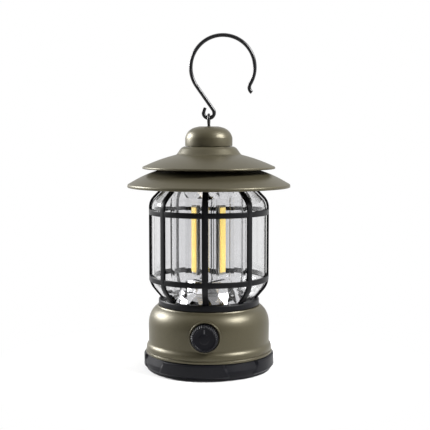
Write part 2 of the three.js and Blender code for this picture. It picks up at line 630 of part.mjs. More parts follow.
function wholeCage() {
  const foot = revolve([
    [FLANGE_BORE, CAGE_BOTTOM],
    [CAGE_FOOT_RADIUS, CAGE_BOTTOM],
    [CAGE_FOOT_RADIUS, CAGE_BOTTOM + CAGE_FOOT_HEIGHT],
    [CAGE_FOOT_RADIUS - 0.8, CAGE_BOTTOM + CAGE_FOOT_HEIGHT + 0.3],
    [CAGE_FOOT_RADIUS - 4.3, CAGE_BOTTOM + CAGE_FOOT_HEIGHT + 0.3],
    [CAGE_FOOT_RADIUS - 4.3, LOWER_LIP_TOP],
    [LIP_BORE, LOWER_LIP_TOP],
    [LIP_BORE, LOWER_LIP_TOP - LIP_THICKNESS],
    [FLANGE_BORE, LOWER_LIP_TOP - LIP_THICKNESS],
  ]);
  const crown = revolve([
    [LIP_BORE, UPPER_LIP_BOTTOM],
    [CAGE_CROWN_RADIUS - 4.4, UPPER_LIP_BOTTOM],
    [CAGE_CROWN_RADIUS - 4.4, CAGE_TOP - CAGE_CROWN_HEIGHT],
    [CAGE_CROWN_RADIUS - 2.2, CAGE_TOP - CAGE_CROWN_HEIGHT - 0.3],
    [CAGE_CROWN_RADIUS, CAGE_TOP - CAGE_CROWN_HEIGHT + 1.4],
    [CAGE_CROWN_RADIUS, CAGE_TOP],
    [FLANGE_BORE, CAGE_TOP],
    [FLANGE_BORE, UPPER_LIP_TOP],
    [LIP_BORE, UPPER_LIP_TOP],
  ]);
  const hoop = (bottom) =>
    ring(CAGE_RADIUS - RIB_THICKNESS, CAGE_RADIUS - 0.2, bottom, bottom + HOOP_HEIGHT);
  const room = revolve([[0, LOWER_LIP_TOP], ...shadeSide(0.1), [0, UPPER_LIP_BOTTOM]]);
  const footHole = moved(screwHole(3.6), 0, -CAGE_SCREW_RING, CAGE_BOTTOM - 1);
  const crownHole = moved(screwHole(4), 0, -CROWN_SCREW_RING, CAGE_TOP - 3);
  return cut(
    join(cut(join(foot, crown), room), hoop(LOWER_HOOP), hoop(UPPER_HOOP), cageRibs()),
    aroundAxis(footHole, 4, 45),
    aroundAxis(crownHole, 4, 45),
  );
}

const cage = wholeCage();
const HALF = 100;
part("cage_front", cage.intersect(block([-HALF, -HALF, 0], [HALF, -SEAT / 2, 2 * HALF])), BLACK_PLASTIC);
part("cage_back", cage.intersect(block([-HALF, SEAT / 2, 0], [HALF, HALF, 2 * HALF])), BLACK_PLASTIC);

for (let i = 0; i < 4; i++) {
  const fixing = moved(screw(4.2), 0, -CAGE_SCREW_RING, BASE_TOP - BASE_WALL - SEAT);
  part(`cage_screw_${i + 1}`, turned(fixing, 45 + i * 90), STEEL);
}

// ---- Shade, tube, reflectors and light column -----------------------------------------------------------

// The wall of the shade follows the inside of the ribs, cut level above the lower lip and below the upper.
function shade() {
  const low = LOWER_LIP_TOP + SEAT;
  const high = UPPER_LIP_BOTTOM - SEAT;
  return revolve([...shadeSide(SEAT, low, high), ...shadeSide(SEAT + SHADE_WALL, low, high).reverse()]);
}

part("shade", shade(), CLEAR_PLASTIC);

const FLANGE_TOP = CAGE_BOTTOM + FLANGE_THICKNESS;
part(
  "light_tube",
  ring(TUBE_RADIUS - TUBE_WALL, TUBE_RADIUS, FLANGE_TOP + SEAT, UPPER_LIP_TOP - SEAT),
  CLEAR_PLASTIC,
);

// A diamond-cut cone: rings of points, each turned half a facet from the last, the first at height 0.
function facetedCone(rings) {
  const points = [[0, 0, rings[0][1]]];
  rings.forEach(([r, z], k) => {
    for (let i = 0; i < REFLECTOR_FACETS; i++) {
      const a = ((i + k / 2) / REFLECTOR_FACETS) * 2 * Math.PI;
      points.push([r * Math.cos(a), r * Math.sin(a), z]);
    }
  });
  points.push([0, 0, rings.at(-1)[1]]);
  const at = (k, i) => 1 + k * REFLECTOR_FACETS + ((i + REFLECTOR_FACETS) % REFLECTOR_FACETS);
  const faces = [];
  for (let i = 0; i < REFLECTOR_FACETS; i++) {
    faces.push([0, at(0, i + 1), at(0, i)]);
    faces.push([points.length - 1, at(rings.length - 1, i), at(rings.length - 1, i + 1)]);
    for (let k = 0; k < rings.length - 1; k++) {
      faces.push([at(k, i), at(k, i + 1), at(k + 1, i)]);
      faces.push([at(k + 1, i), at(k, i + 1), at(k + 1, i + 1)]);
    }
  }
  const geometry = new THREE.BufferGeometry();
  geometry.setAttribute("position", new THREE.Float32BufferAttribute(points.flat(), 3));
  geometry.setIndex(faces.flat());
  return solid(geometry);
}

// A reflector standing on its flange at height 0: a thin faceted cone, open below, with a hole for the leads.
function reflector(height) {
  const wall = 1.4;
  const skirtRadius = TUBE_RADIUS - TUBE_WALL - 2 * SEAT;
  const cone = facetedCone([
    [skirtRadius, 0],
    [skirtRadius, FLANGE_THICKNESS + 0.6],
    [20.4, height * 0.45],
    [17, height],
  ]);
  const hollow = revolve(
    [[0, -1], [skirtRadius - 1 - wall, -1], [20.4 - 2 * wall, height * 0.45 - wall],
      [17 - 2 * wall, height - wall],
      [0, height - wall]],
    REFLECTOR_FACETS,
  );
  const flange = ring(skirtRadius - 2, FLANGE_RING, 0, FLANGE_THICKNESS);
  return cut(join(cone, flange), hollow, disc(COLUMN_BORE, -1, height + 1));
}

const TOP_REFLECTOR_HEIGHT = CAGE_TOP - COLUMN_TOP - SEAT;
part("bottom_reflector", moved(reflector(REFLECTOR_HEIGHT), 0, 0, CAGE_BOTTOM), MIRROR_CHROME);
const hanging = reflector(TOP_REFLECTOR_HEIGHT).rotate([180, 0, 0]);
part("top_reflector", moved(hanging, 0, 0, CAGE_TOP), MIRROR_CHROME);

const LED_MIDDLE = (COLUMN_BOTTOM + COLUMN_TOP) / 2;
const BOARD_FLOOR = COLUMN_FACE - BOARD_INSET;

// A flat piece on a face of the column, at an azimuth: distances from the axis, width and length.
function facePiece(near, far, width, length, azimuth) {
  const low = [-width / 2, -far, LED_MIDDLE - length / 2];
  const high = [width / 2, -near, LED_MIDDLE + length / 2];
  return turned(block(low, high), azimuth);
}

// A three-sided post with its corners cut off square.
function lightColumn() {
  const outline = new THREE.Shape();
  const cornerAngle = Math.acos(COLUMN_FACE / COLUMN_CORNER);
  for (let i = 0; i < 3; i++) {
    for (const side of [-1, 1]) {
      const a = radians(30 + i * 120) + side * cornerAngle;
      const step = i || side > 0 ? "lineTo" : "moveTo";
      outline[step](COLUMN_CORNER * Math.cos(a), COLUMN_CORNER * Math.sin(a));
    }
  }
  const length = COLUMN_TOP - COLUMN_BOTTOM;
  const post = solid(new THREE.ExtrudeGeometry(outline, { depth: length, bevelEnabled: false }));
  const bore = disc(COLUMN_BORE, COLUMN_BOTTOM - 1, COLUMN_TOP + 1);
  const grooves = LED_AZIMUTHS.map((azimuth) =>
    facePiece(BOARD_FLOOR - SEAT, COLUMN_FACE + 5, BOARD_WIDTH + 2 * SEAT, BOARD_LENGTH + 2 * SEAT, azimuth),
  );
  return cut(moved(post, 0, 0, COLUMN_BOTTOM), bore, grooves);
}

const LED_AZIMUTHS = [60, 180, 300];
part("light_column", lightColumn(), MIRROR_CHROME);
LED_AZIMUTHS.forEach((azimuth, i) => {
  const boardFront = BOARD_FLOOR + BOARD_THICKNESS;
  const board = facePiece(BOARD_FLOOR, boardFront, BOARD_WIDTH, BOARD_LENGTH, azimuth);
  const strip = facePiece(
    boardFront + SEAT, boardFront + SEAT + LED_THICKNESS, LED_WIDTH, LED_LENGTH, azimuth,
  );
  part(`led_board_${i + 1}`, board, BOARD_WHITE);
  part(`led_strip_${i + 1}`, strip, LED_YELLOW);
});

// ---- Leads ----------------------------------------------------------------------------------------------

const LEAD_RADIUS = 0.7;
const lead = (points) =>
  bar(new THREE.CatmullRomCurve3(points.map((p) => new THREE.Vector3(...p))), LEAD_RADIUS, 14, 5);

const boardFace = -BOARD_BACK + SEAT + 0.2;
const contactX = BAY_END - SEAT - CONTACT_THICKNESS / 2;
const leadFoot = CONTACT_TOP + SEAT;
const powerLead = (side, y) =>
  lead([
    [side * contactX, y, leadFoot],
    [side * contactX, y, leadFoot + 4],
    [side * (contactX - 6), y * 0.9 - 3, leadFoot + 9],
    [side * 12, boardFace + 5, KNOB_HEIGHT + 4],
    [side * 11, boardFace, KNOB_HEIGHT + 3],
  ]);
part("power_lead_positive", powerLead(1, cellY(0)), RED_LEAD);
part("power_lead_negative", powerLead(-1, cellY(2)), BLACK_PLASTIC);

// Two cores side by side.
const ledLead = (side) =>
  lead([
    [side * 0.6, boardFace, KNOB_HEIGHT + 8],
    [side * 0.6, boardFace + 5, KNOB_HEIGHT + 9],
    [side * 0.6, -9, BASE_TOP - 1],
    [side * 0.6, -1.5, BASE_TOP + 8],
    [side * 0.6, 0, COLUMN_BOTTOM],
    [side * 0.6, 0, COLUMN_BOTTOM + 8],
  ]);
part("led_lead", join(ledLead(1), ledLead(-1)), BOARD_WHITE);

// ---- Hat ------------------------------------------------------------------------------------------------

function lowerBrim() {
  const top = outlineOf([
    [BRIM_RADIUS, RIM_BOTTOM],
    { at: [BRIM_RADIUS, RIM_BOTTOM + 2.4], round: 0.8 },
    { at: [BRIM_RADIUS - 13.8, RIM_BOTTOM + 10.1], round: 9 },
    [SPACER_RADIUS, HUB_TOP],
    [HAT_BORE, HUB_TOP],
  ], 3);
  const shell = revolve(wallOf(top, BRIM_WALL));
  const boss = moved(disc(3.2, CAGE_TOP + SEAT, HUB_BOTTOM + 0.5, 12), 0, -CROWN_SCREW_RING, 0);
  const crownHole = moved(screwHole(20), 0, -CROWN_SCREW_RING, CAGE_TOP - 2);
  const counterbore = disc(SCREW_HEAD + 0.4, CROWN_SCREW_SEAT, CROWN_SCREW_SEAT + 9, 10);
  const hatHole = moved(screwHole(12), 0, -HAT_SCREW_RING, HUB_BOTTOM - 5);
  return cut(
    join(shell, aroundAxis(boss, 4, 45)),
    aroundAxis(join(crownHole, moved(counterbore, 0, -CROWN_SCREW_RING, 0)), 4, 45),
    aroundAxis(hatHole, 3),
  );
}

part("lower_brim", lowerBrim(), OLIVE_PAINT);

for (let i = 0; i < 4; i++) {
  const fixing = screw(CROWN_SCREW_SEAT + SEAT - CAGE_TOP + 2.4).rotate([180, 0, 0]);
  const placed = moved(fixing, 0, -CROWN_SCREW_RING, CROWN_SCREW_SEAT + SEAT);
  part(`crown_screw_${i + 1}`, turned(placed, 45 + i * 90), STEEL);
}

// An upside-down channel: a rim that shows between the brims, and a hub that the hat screws bite into.
function brimSpacer() {
  const body = revolve([
    [HAT_BORE + 2, HUB_TOP + SEAT],
    [HAT_SCREW_RING + 3, HUB_TOP + SEAT],
    [HAT_SCREW_RING + 3, NECK_TOP - 1.8],
    [SPACER_RADIUS - 2, NECK_TOP - 1.8],
    [SPACER_RADIUS - 2, HUB_TOP + SEAT],
    [SPACER_RADIUS, HUB_TOP + SEAT],
    [SPACER_RADIUS, NECK_TOP],
    [HAT_BORE + 2, NECK_TOP],
  ]);
  return cut(body, aroundAxis(moved(screwHole(14), 0, -HAT_SCREW_RING, HUB_BOTTOM), 3));
}

part("brim_spacer", brimSpacer(), BLACK_PLASTIC);

function upperBrim() {
  const brimTop = [
    [TOP_BRIM_RADIUS, TOP_RIM_BOTTOM],
    { at: [TOP_BRIM_RADIUS, TOP_RIM_BOTTOM + 1.5], round: 0.6 },
    { at: [36, HAT_FLOOR - 2], round: 9 },
    [23.8, HAT_FLOOR + 1.4],
  ];
  const collar = outlineOf([
    [23.8, HAT_FLOOR + 1.4],
    { at: [DOME_RADIUS + 2.8, COLLAR_TOP - 1], round: 1 },
    [DOME_RADIUS + 1, COLLAR_TOP],
  ], 2);
  const spigot = DOME_RADIUS - DOME_WALL - SEAT;
  const inside = [
    [spigot, COLLAR_TOP],
    [spigot, COLLAR_TOP + 3.2],
    [spigot - 1.4, COLLAR_TOP + 3.2],
    [spigot - 1.4, COLLAR_TOP - 1.8],
    [DOME_RADIUS - 0.6, COLLAR_TOP - 1.8],
    [21.6, HAT_FLOOR + BRIM_WALL],
    [HAT_BORE, HAT_FLOOR + BRIM_WALL],
    [HAT_BORE, HAT_FLOOR],
    [SPACER_RADIUS + 0.4, HAT_FLOOR],
  ];
  const underside = offsetOutline(outlineOf(brimTop, 2), BRIM_WALL).slice(0, -1).reverse();
  const body = revolve([...outlineOf(brimTop, 3), ...collar.slice(1), ...inside, ...underside]);
  return cut(body, aroundAxis(moved(screwHole(4), 0, -HAT_SCREW_RING, HAT_FLOOR - 1), 3));
}

part("upper_brim", upperBrim(), OLIVE_PAINT);

for (let i = 0; i < 3; i++) {
  const fixing = moved(screw(7).rotate([180, 0, 0]), 0, -HAT_SCREW_RING, HAT_FLOOR + BRIM_WALL + SEAT);
  part(`hat_screw_${i + 1}`, turned(fixing, i * 120), STEEL);
}

const EYE_HOLE = EYE_SHANK + RUNNING;
part(
  "dome_cap",
  cut(
    revolve(
      wallOf(
        [
          [DOME_RADIUS, DOME_BOTTOM],
          [DOME_RADIUS, DOME_TOP - 8.4],
          { at: [DOME_RADIUS - 1.8, DOME_TOP - 2], round: 6.2 },
          [DOME_RADIUS - 10.4, DOME_TOP],
          [0.5, DOME_TOP],
        ],
        DOME_WALL,
      ),
    ),
    disc(EYE_HOLE, DOME_TOP - 4, DOME_TOP + 1),
  ),
  OLIVE_PAINT,
);

// ---- Eye and hook ---------------------------------------------------------------------------------------

const WASHER_TOP = DOME_TOP - DOME_WALL - SEAT;
const NUT_TOP = WASHER_TOP - 0.8 - SEAT;

part(
  "eye_bolt",
  join(
    moved(solid(new THREE.TorusGeometry(EYE_RING, EYE_WIRE, 8, 24).rotateY(Math.PI / 2)), 0, 0, EYE_CENTRE),
    disc(EYE_SHANK, NUT_TOP - 3.2, EYE_CENTRE - EYE_RING, 14),
  ),
  BLACK_WIRE,
);
part("eye_washer", ring(EYE_SHANK + SEAT, 4.2, WASHER_TOP - 0.8, WASHER_TOP, SMALL_ROUND), STEEL);
part(
  "eye_nut",
  cut(disc(3.2, NUT_TOP - 2.4, NUT_TOP, 6), disc(EYE_SHANK + SEAT, NUT_TOP - 3, NUT_TOP + 1, 14)),
  STEEL,
);

// A circular arc in the plane y = 0, between two angles in degrees from +X towards +Z.
class UprightArc extends THREE.Curve {
  constructor(x, z, radius, from, to) {
    super();
    Object.assign(this, { x, z, radius, from, to });
  }
  getPoint(t, target = new THREE.Vector3()) {
    const a = radians(THREE.MathUtils.lerp(this.from, this.to, t));
    return target.set(this.x + this.radius * Math.cos(a), 0, this.z + this.radius * Math.sin(a));
  }
}

// The hook's wire: a small loop held in the eye, a straight shank, the crook and a curled tip.
// The shank is the line that touches the loop on its right and the crook on its left.
function hookPath() {
  const loopZ = HOOK_PIVOT + HOOK_LOOP;
  const crookZ = HOOK_PIVOT + CROOK_UP;
  const rise = crookZ - loopZ;
  const apart = Math.hypot(CROOK_ACROSS, rise);
  const towards = THREE.MathUtils.radToDeg(Math.atan2(rise, CROOK_ACROSS));
  const swing = THREE.MathUtils.radToDeg(Math.acos((HOOK_LOOP + HOOK_CROOK) / apart));
  const touch = towards - swing; // direction from the loop's centre to where the shank leaves it
  const loopOpen = -200;
  const crookEnd = -31;
  const curl = 4.6;
  const onCircle = (x, z, r, deg) =>
    new THREE.Vector3(x + r * Math.cos(radians(deg)), 0, z + r * Math.sin(radians(deg)));
  const loopTip = onCircle(0, loopZ, HOOK_LOOP, loopOpen);
  const tipDirection = onCircle(0, 0, 1, loopOpen - 90);
  const curlX = CROOK_ACROSS + (HOOK_CROOK + curl) * Math.cos(radians(crookEnd));
  const curlZ = crookZ + (HOOK_CROOK + curl) * Math.sin(radians(crookEnd));
  const path = new THREE.CurvePath();
  path.add(new THREE.LineCurve3(loopTip.clone().addScaledVector(tipDirection, 2.6), loopTip));
  path.add(new UprightArc(0, loopZ, HOOK_LOOP, loopOpen, touch));
  path.add(
    new THREE.LineCurve3(
      onCircle(0, loopZ, HOOK_LOOP, touch),
      onCircle(CROOK_ACROSS, crookZ, HOOK_CROOK, touch + 180),
    ),
  );
  path.add(new UprightArc(CROOK_ACROSS, crookZ, HOOK_CROOK, touch + 180, crookEnd));
  path.add(new UprightArc(curlX, curlZ, curl, crookEnd + 180, crookEnd + 180 + 86));
  return path;
}

part("hook", bar(hookPath(), HOOK_WIRE, 80, 8), BLACK_WIRE);

export default lantern;
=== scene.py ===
"""A retro camping lantern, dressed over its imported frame.

Satin olive metal-look shells, a black moulded cage, a clear barrel shade, and a mirrored three-sided light
column with yellow LED strips. Profiles are written in millimetres, as [radius, height] stops, and placed by
the boxes of the frame's nodes.
"""
import math

import bmesh
import bpy
from mathutils import Matrix, Vector


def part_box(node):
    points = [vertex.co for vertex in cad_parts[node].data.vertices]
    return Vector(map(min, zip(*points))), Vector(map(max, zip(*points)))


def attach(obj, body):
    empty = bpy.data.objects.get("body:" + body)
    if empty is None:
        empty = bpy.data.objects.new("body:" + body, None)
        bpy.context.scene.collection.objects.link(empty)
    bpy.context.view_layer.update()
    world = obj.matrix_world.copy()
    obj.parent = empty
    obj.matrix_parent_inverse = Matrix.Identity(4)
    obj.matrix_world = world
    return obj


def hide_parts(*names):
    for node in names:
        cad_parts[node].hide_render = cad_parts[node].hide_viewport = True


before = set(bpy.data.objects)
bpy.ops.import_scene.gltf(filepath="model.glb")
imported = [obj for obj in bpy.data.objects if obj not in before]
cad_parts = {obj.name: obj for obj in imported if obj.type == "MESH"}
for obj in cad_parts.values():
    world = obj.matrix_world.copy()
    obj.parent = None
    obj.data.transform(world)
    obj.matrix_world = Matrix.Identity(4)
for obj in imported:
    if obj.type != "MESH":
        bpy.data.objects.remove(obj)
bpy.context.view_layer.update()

MM = 0.001
TURN = 2 * math.pi
SHARP = math.radians(34)  # edges that turn more than this stay sharp
BARELY_SHARP = math.radians(60)  # the same, for wires and clear walls
AROUND = 160  # sides of a large turned piece
FINE_AROUND = 192
MERGE = 0.001  # vertices nearer than this, in mm, become one
LED_AZIMUTHS = (60, 180, 300)


def span(node):
    """A node's lowest and highest corners, in millimetres."""
    low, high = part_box(node)
    return Vector(low) / MM, Vector(high) / MM


# ---- Node groups and materials -------------------------------------------------------------------------


def new_group(name, inputs, outputs):
    group = bpy.data.node_groups.new(name, "ShaderNodeTree")
    for socket, kind, value in inputs:
        made = group.interface.new_socket(socket, in_out="INPUT", socket_type=kind)
        if value is not None:
            made.default_value = value
    for socket, kind in outputs:
        group.interface.new_socket(socket, in_out="OUTPUT", socket_type=kind)
    return group, group.nodes.new("NodeGroupInput"), group.nodes.new("NodeGroupOutput")


def add(tree, kind, links=(), **values):
    """Adds a node, sets its properties, then its sockets: links are (input, output socket or value)."""
    node = tree.nodes.new(kind)
    for name, value in values.items():
        setattr(node, name, value)
    for name, source in links:
        if isinstance(source, bpy.types.NodeSocket):
            tree.links.new(source, node.inputs[name])
        else:
            node.inputs[name].default_value = source
    return node


def calc(tree, operation, *values, clamp=False):
    """A Math node working on values or sockets; gives its output."""
    return add(tree, "ShaderNodeMath", enumerate(values), operation=operation, use_clamp=clamp).outputs[0]


def scaled(tree, colour, level):
    return add(tree, "ShaderNodeVectorMath", [(0, colour), ("Scale", level)], operation="SCALE").outputs[0]


def eased(tree, value, low, high, start=0.0, end=1.0):
    """Goes smoothly from start to end while the value goes from low to high."""
    return add(tree, "ShaderNodeMapRange", [("Value", value), ("From Min", low), ("From Max", high),
                                            ("To Min", start), ("To Max", end)],
               interpolation_type="SMOOTHSTEP").outputs[0]


def chosen(tree, switch, off, on):
    """The first value where the switch is 0, and the second where it is 1."""
    return add(tree, "ShaderNodeMix", [("Factor", switch), (2, off), (3, on)]).outputs[0]


def mottle_group():
    """Soft colour and gloss variation, as handling and moulding leave."""
    group, inside, outside = new_group(
        "mottle",
        [("Colour", "NodeSocketColor", (1, 1, 1, 1)), ("Roughness", "NodeSocketFloat", 0.4),
         ("Scale", "NodeSocketFloat", 30.0), ("Colour Spread", "NodeSocketFloat", 0.06),
         ("Gloss Spread", "NodeSocketFloat", 0.08)],
        [("Colour", "NodeSocketColor"), ("Roughness", "NodeSocketFloat")],
    )
    place = add(group, "ShaderNodeTexCoord").outputs["Object"]
    patch = add(group, "ShaderNodeTexNoise", [("Vector", place), ("Scale", inside.outputs["Scale"]),
                                              ("Detail", 5.0), ("Roughness", 0.6)])
    centred = calc(group, "SUBTRACT", patch.outputs["Fac"], 0.5)
    level = calc(group, "MULTIPLY_ADD", centred, inside.outputs["Colour Spread"], 1.0)
    gloss = calc(group, "MULTIPLY_ADD", centred, inside.outputs["Gloss Spread"], inside.outputs["Roughness"],
                 clamp=True)
    group.links.new(scaled(group, inside.outputs["Colour"], level), outside.inputs["Colour"])
    group.links.new(gloss, outside.inputs["Roughness"])
    return group


def flake_group():
    """Fine bright flakes in a metallic paint."""
    group, inside, outside = new_group(
        "paint_flake",
        [("Colour", "NodeSocketColor", (1, 1, 1, 1)), ("Scale", "NodeSocketFloat", 2500.0),
         ("Amount", "NodeSocketFloat", 0.2)],
        [("Colour", "NodeSocketColor")],
    )
    place = add(group, "ShaderNodeTexCoord").outputs["Object"]
    cell = add(group, "ShaderNodeTexVoronoi", [("Vector", place), ("Scale", inside.outputs["Scale"])])
    spark = add(group, "ShaderNodeSeparateColor", [("Color", cell.outputs["Color"])])
    centred = calc(group, "SUBTRACT", spark.outputs[0], 0.5)
    level = calc(group, "MULTIPLY_ADD", centred, inside.outputs["Amount"], 1.0)
    group.links.new(scaled(group, inside.outputs["Colour"], level), outside.inputs["Colour"])
    return group


def grain_group():
    """The height of a moulded or sprayed surface."""
    group, inside, outside = new_group(
        "surface_grain",
        [("Scale", "NodeSocketFloat", 900.0), ("Waviness", "NodeSocketFloat", 0.3)],
        [("Height", "NodeSocketFloat")],
    )
    place = add(group, "ShaderNodeTexCoord").outputs["Object"]
    fine = add(group, "ShaderNodeTexNoise", [("Vector", place), ("Scale", inside.outputs["Scale"]),
                                             ("Detail", 3.0)])
    slow = add(group, "ShaderNodeTexNoise", [("Vector", place), ("Scale", 60.0), ("Detail", 2.0)])
    height = calc(group, "MULTIPLY_ADD", slow.outputs["Fac"], inside.outputs["Waviness"], fine.outputs["Fac"])
    group.links.new(height, outside.inputs["Height"])
    return group


MOTTLE = mottle_group()
FLAKE = flake_group()
GRAIN = grain_group()


def place_group(tree, group, **values):
    node = tree.nodes.new("ShaderNodeGroup")
    node.node_tree = group
    for name, value in values.items():
        node.inputs[name.replace("_", " ")].default_value = value
    return node


def finish_of(name, colour, roughness, metallic=0.0, patch=40.0, spread=0.08, gloss=0.08, flake=0.0,
              grain=900.0, depth=0.02, wave=0.2, **sockets):
    """A surface finish: mottled colour and gloss, fine grain, and the shader's own settings."""
    material = bpy.data.materials.new(name)
    material.use_nodes = True
    tree = material.node_tree
    shader = tree.nodes["Principled BSDF"]
    shader.inputs["Metallic"].default_value = metallic
    for socket, value in sockets.items():
        shader.inputs[socket.replace("_", " ")].default_value = value
    mottle = place_group(tree, MOTTLE, Colour=(*colour, 1), Roughness=roughness, Scale=patch,
                         Colour_Spread=spread, Gloss_Spread=gloss)
    colour_out = mottle.outputs["Colour"]
    if flake:
        flakes = place_group(tree, FLAKE, Amount=flake)
        tree.links.new(colour_out, flakes.inputs["Colour"])
        colour_out = flakes.outputs["Colour"]
    tree.links.new(colour_out, shader.inputs["Base Color"])
    tree.links.new(mottle.outputs["Roughness"], shader.inputs["Roughness"])
    surface = place_group(tree, GRAIN, Scale=grain, Waviness=wave)
    bump = add(tree, "ShaderNodeBump", [("Height", surface.outputs["Height"]), ("Strength", 1.0),
                                        ("Distance", depth * MM)])
    tree.links.new(bump.outputs["Normal"], shader.inputs["Normal"])
    return material


def insulation(name, colour, spread=0.1):
    return finish_of(f"{name}_insulation", colour, 0.5, patch=100, spread=spread, grain=800, depth=0.02)


OLIVE_PAINT = finish_of("satin_olive_paint", (0.072, 0.063, 0.037), 0.38, metallic=0.42, patch=18,
                        spread=0.10, gloss=0.05, flake=0.16, grain=1400, depth=0.004, Specular_Tint=(0.75, 0.74, 0.70, 1),
                        Coat_Weight=0.15, Coat_Roughness=0.36)
BLACK_MOULDING = finish_of("black_moulding", (0.006, 0.006, 0.007), 0.38, patch=55, spread=0.3, gloss=0.12,
                           grain=2200, depth=0.006, Specular_IOR_Level=0.15)
COVER_MOULDING = finish_of("textured_black_moulding", (0.006, 0.006, 0.008), 0.40, patch=45, spread=0.3,
                           gloss=0.12, grain=1500, depth=0.012, Specular_IOR_Level=0.12)
KNOB_MOULDING = finish_of("knob_moulding", (0.005, 0.005, 0.007), 0.36, patch=90, spread=0.3, gloss=0.1,
                          grain=2600, depth=0.006, Specular_IOR_Level=0.13)
COATED_WIRE = finish_of("coated_black_wire", (0.009, 0.009, 0.010), 0.30, patch=120, spread=0.25, gloss=0.10,
                        grain=900, depth=0.002, Specular_IOR_Level=0.4, Coat_Weight=0.15, Coat_Roughness=0.2)
CLEAR_SHADE = finish_of("clear_shade", (0.87, 0.87, 0.875), 0.01, patch=14, spread=0.02, gloss=0.0, grain=40,
                        depth=0.0006, wave=0.5, Transmission_Weight=1.0, IOR=1.40)
CLEAR_TUBE = finish_of("clear_tube", (0.985, 0.985, 0.99), 0.01, patch=14, spread=0.01, gloss=0.0, grain=40,
                       depth=0.0006, wave=0.5, Transmission_Weight=1.0, IOR=1.33)
MIRROR = finish_of("metallised_mirror", (0.95, 0.95, 0.955), 0.04, metallic=1.0, patch=25, spread=0.04,
                   gloss=0.03, grain=60, depth=0.0012, wave=1.0)
# The phosphor's emission is a painted glow: the lantern is unlit, and it stands in for light that doesn't
# reach inside the clear walls.
PHOSPHOR_PAINTED_GLOW = finish_of("led_phosphor_painted_glow", (0.93, 0.62, 0.13), 0.42, patch=160, spread=0.12, gloss=0.1, grain=1500,
                     depth=0.01, Coat_Weight=0.3, Coat_Roughness=0.2, Emission_Color=(1.0, 0.78, 0.24, 1),
                     Emission_Strength=1.0)
LED_MASK = finish_of("white_solder_mask", (0.83, 0.83, 0.80), 0.35, patch=80, spread=0.05, grain=1500,
                     depth=0.004)
GREEN_MASK = finish_of("green_solder_mask", (0.02, 0.11, 0.045), 0.3, patch=120, spread=0.3, grain=900,
                       depth=0.03)
PLATED_STEEL = finish_of("plated_steel", (0.62, 0.62, 0.60), 0.28, metallic=1.0, patch=140, spread=0.15,
                         gloss=0.2, grain=1800, depth=0.01)
RUBBER = finish_of("matt_rubber", (0.018, 0.018, 0.019), 0.85, patch=70, spread=0.3, grain=1800, depth=0.05)
CELL_SLEEVE = finish_of("cell_sleeve", (0.05, 0.13, 0.27), 0.3, metallic=0.3, patch=60, spread=0.1, grain=500,
                        depth=0.01)
RED_LEAD = insulation("red", (0.42, 0.02, 0.015))
BLACK_LEAD = insulation("black", (0.012, 0.012, 0.012), spread=0.2)
WHITE_LEAD = insulation("white", (0.75, 0.75, 0.72))
POINTER_PAINT = finish_of("pointer_paint", (0.045, 0.045, 0.05), 0.5, patch=100, spread=0.2, grain=900,
                          depth=0.01)


# ---- Making meshes -------------------------------------------------------------------------------------


def rounded(stops, steps=7):
    """[radius, height] points. A stop's third number cuts its corner back by that much and rounds it.

    A fourth is how far the corner is cut back on its far side.
    """
    points = []
    for i, stop in enumerate(stops):
        at = Vector(stop[:2])
        if len(stop) == 2:
            points.append(at)
            continue
        before = at + (Vector(stops[i - 1][:2]) - at).normalized() * stop[2]
        after = at + (Vector(stops[(i + 1) % len(stops)][:2]) - at).normalized() * stop[-1]
        for k in range(steps + 1):
            t = k / steps
            points.append((1 - t) ** 2 * before + 2 * t * (1 - t) * at + t * t * after)
    return points


def beside(points, distance):
    """The same line moved to its left."""
    moved = []
    for i, point in enumerate(points):
        along = (points[min(i + 1, len(points) - 1)] - points[max(i - 1, 0)]).normalized()
        moved.append(point + Vector((-along.y, along.x)) * distance)
    return moved


def wall(stops, thickness):
    """A closed outline of a wall, its outer face given."""
    outer = rounded(stops)
    return outer + beside(outer, thickness)[::-1]


def rotate(bm, angle, axis, verts=None):
    bmesh.ops.rotate(bm, verts=verts or bm.verts, cent=(0, 0, 0), matrix=Matrix.Rotation(angle, 3, axis))


def move(bm, offset, verts=None):
    bmesh.ops.translate(bm, vec=offset, verts=verts or bm.verts)


def new_verts(made):
    """The vertices among what an operator made."""
    return [g for g in made["geom"] if isinstance(g, bmesh.types.BMVert)]


def turned(outline, steps=AROUND, closed=True):
    """Spins an outline about Z."""
    bm = bmesh.new()
    verts = [bm.verts.new((p[0], 0, p[1])) for p in outline]
    pairs = list(zip(verts, verts[1:])) + ([(verts[-1], verts[0])] if closed else [])
    edges = [bm.edges.new(pair) for pair in pairs]
    bmesh.ops.spin(bm, geom=verts + edges, cent=(0, 0, 0), axis=(0, 0, 1), dvec=(0, 0, 0), angle=TURN,
                   steps=steps, use_merge=True, use_duplicate=False)
    bmesh.ops.remove_doubles(bm, verts=bm.verts, dist=MERGE)
    bmesh.ops.dissolve_degenerate(bm, dist=MERGE / 2, edges=bm.edges)
    return bm


def piece(name, bm, material, body, nodes, flat=False, sharp=SHARP):
    """Ends a mesh: outward faces, smooth shading with sharp corners, metres, and its place in the frame."""
    bmesh.ops.recalc_face_normals(bm, faces=bm.faces)
    for face in bm.faces:
        face.smooth = not flat
    for edge in bm.edges:
        edge.smooth = len(edge.link_faces) == 2 and edge.calc_face_angle(0) < sharp
    bmesh.ops.scale(bm, vec=(MM, MM, MM), verts=bm.verts)
    mesh = bpy.data.meshes.new(name)
    bm.to_mesh(mesh)
    bm.free()
    mesh.materials.append(material)
    made = bpy.data.objects.new(name, mesh)
    bpy.context.scene.collection.objects.link(made)
    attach(made, body)
    if nodes:
        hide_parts(*nodes)
    return made


def as_bmesh(*others):
    """Joins other bmeshes into one."""
    whole = bmesh.new()
    for other in others:
        mesh = bpy.data.meshes.new("joining")
        other.to_mesh(mesh)
        whole.from_mesh(mesh)
        bpy.data.meshes.remove(mesh)
        other.free()
    return whole


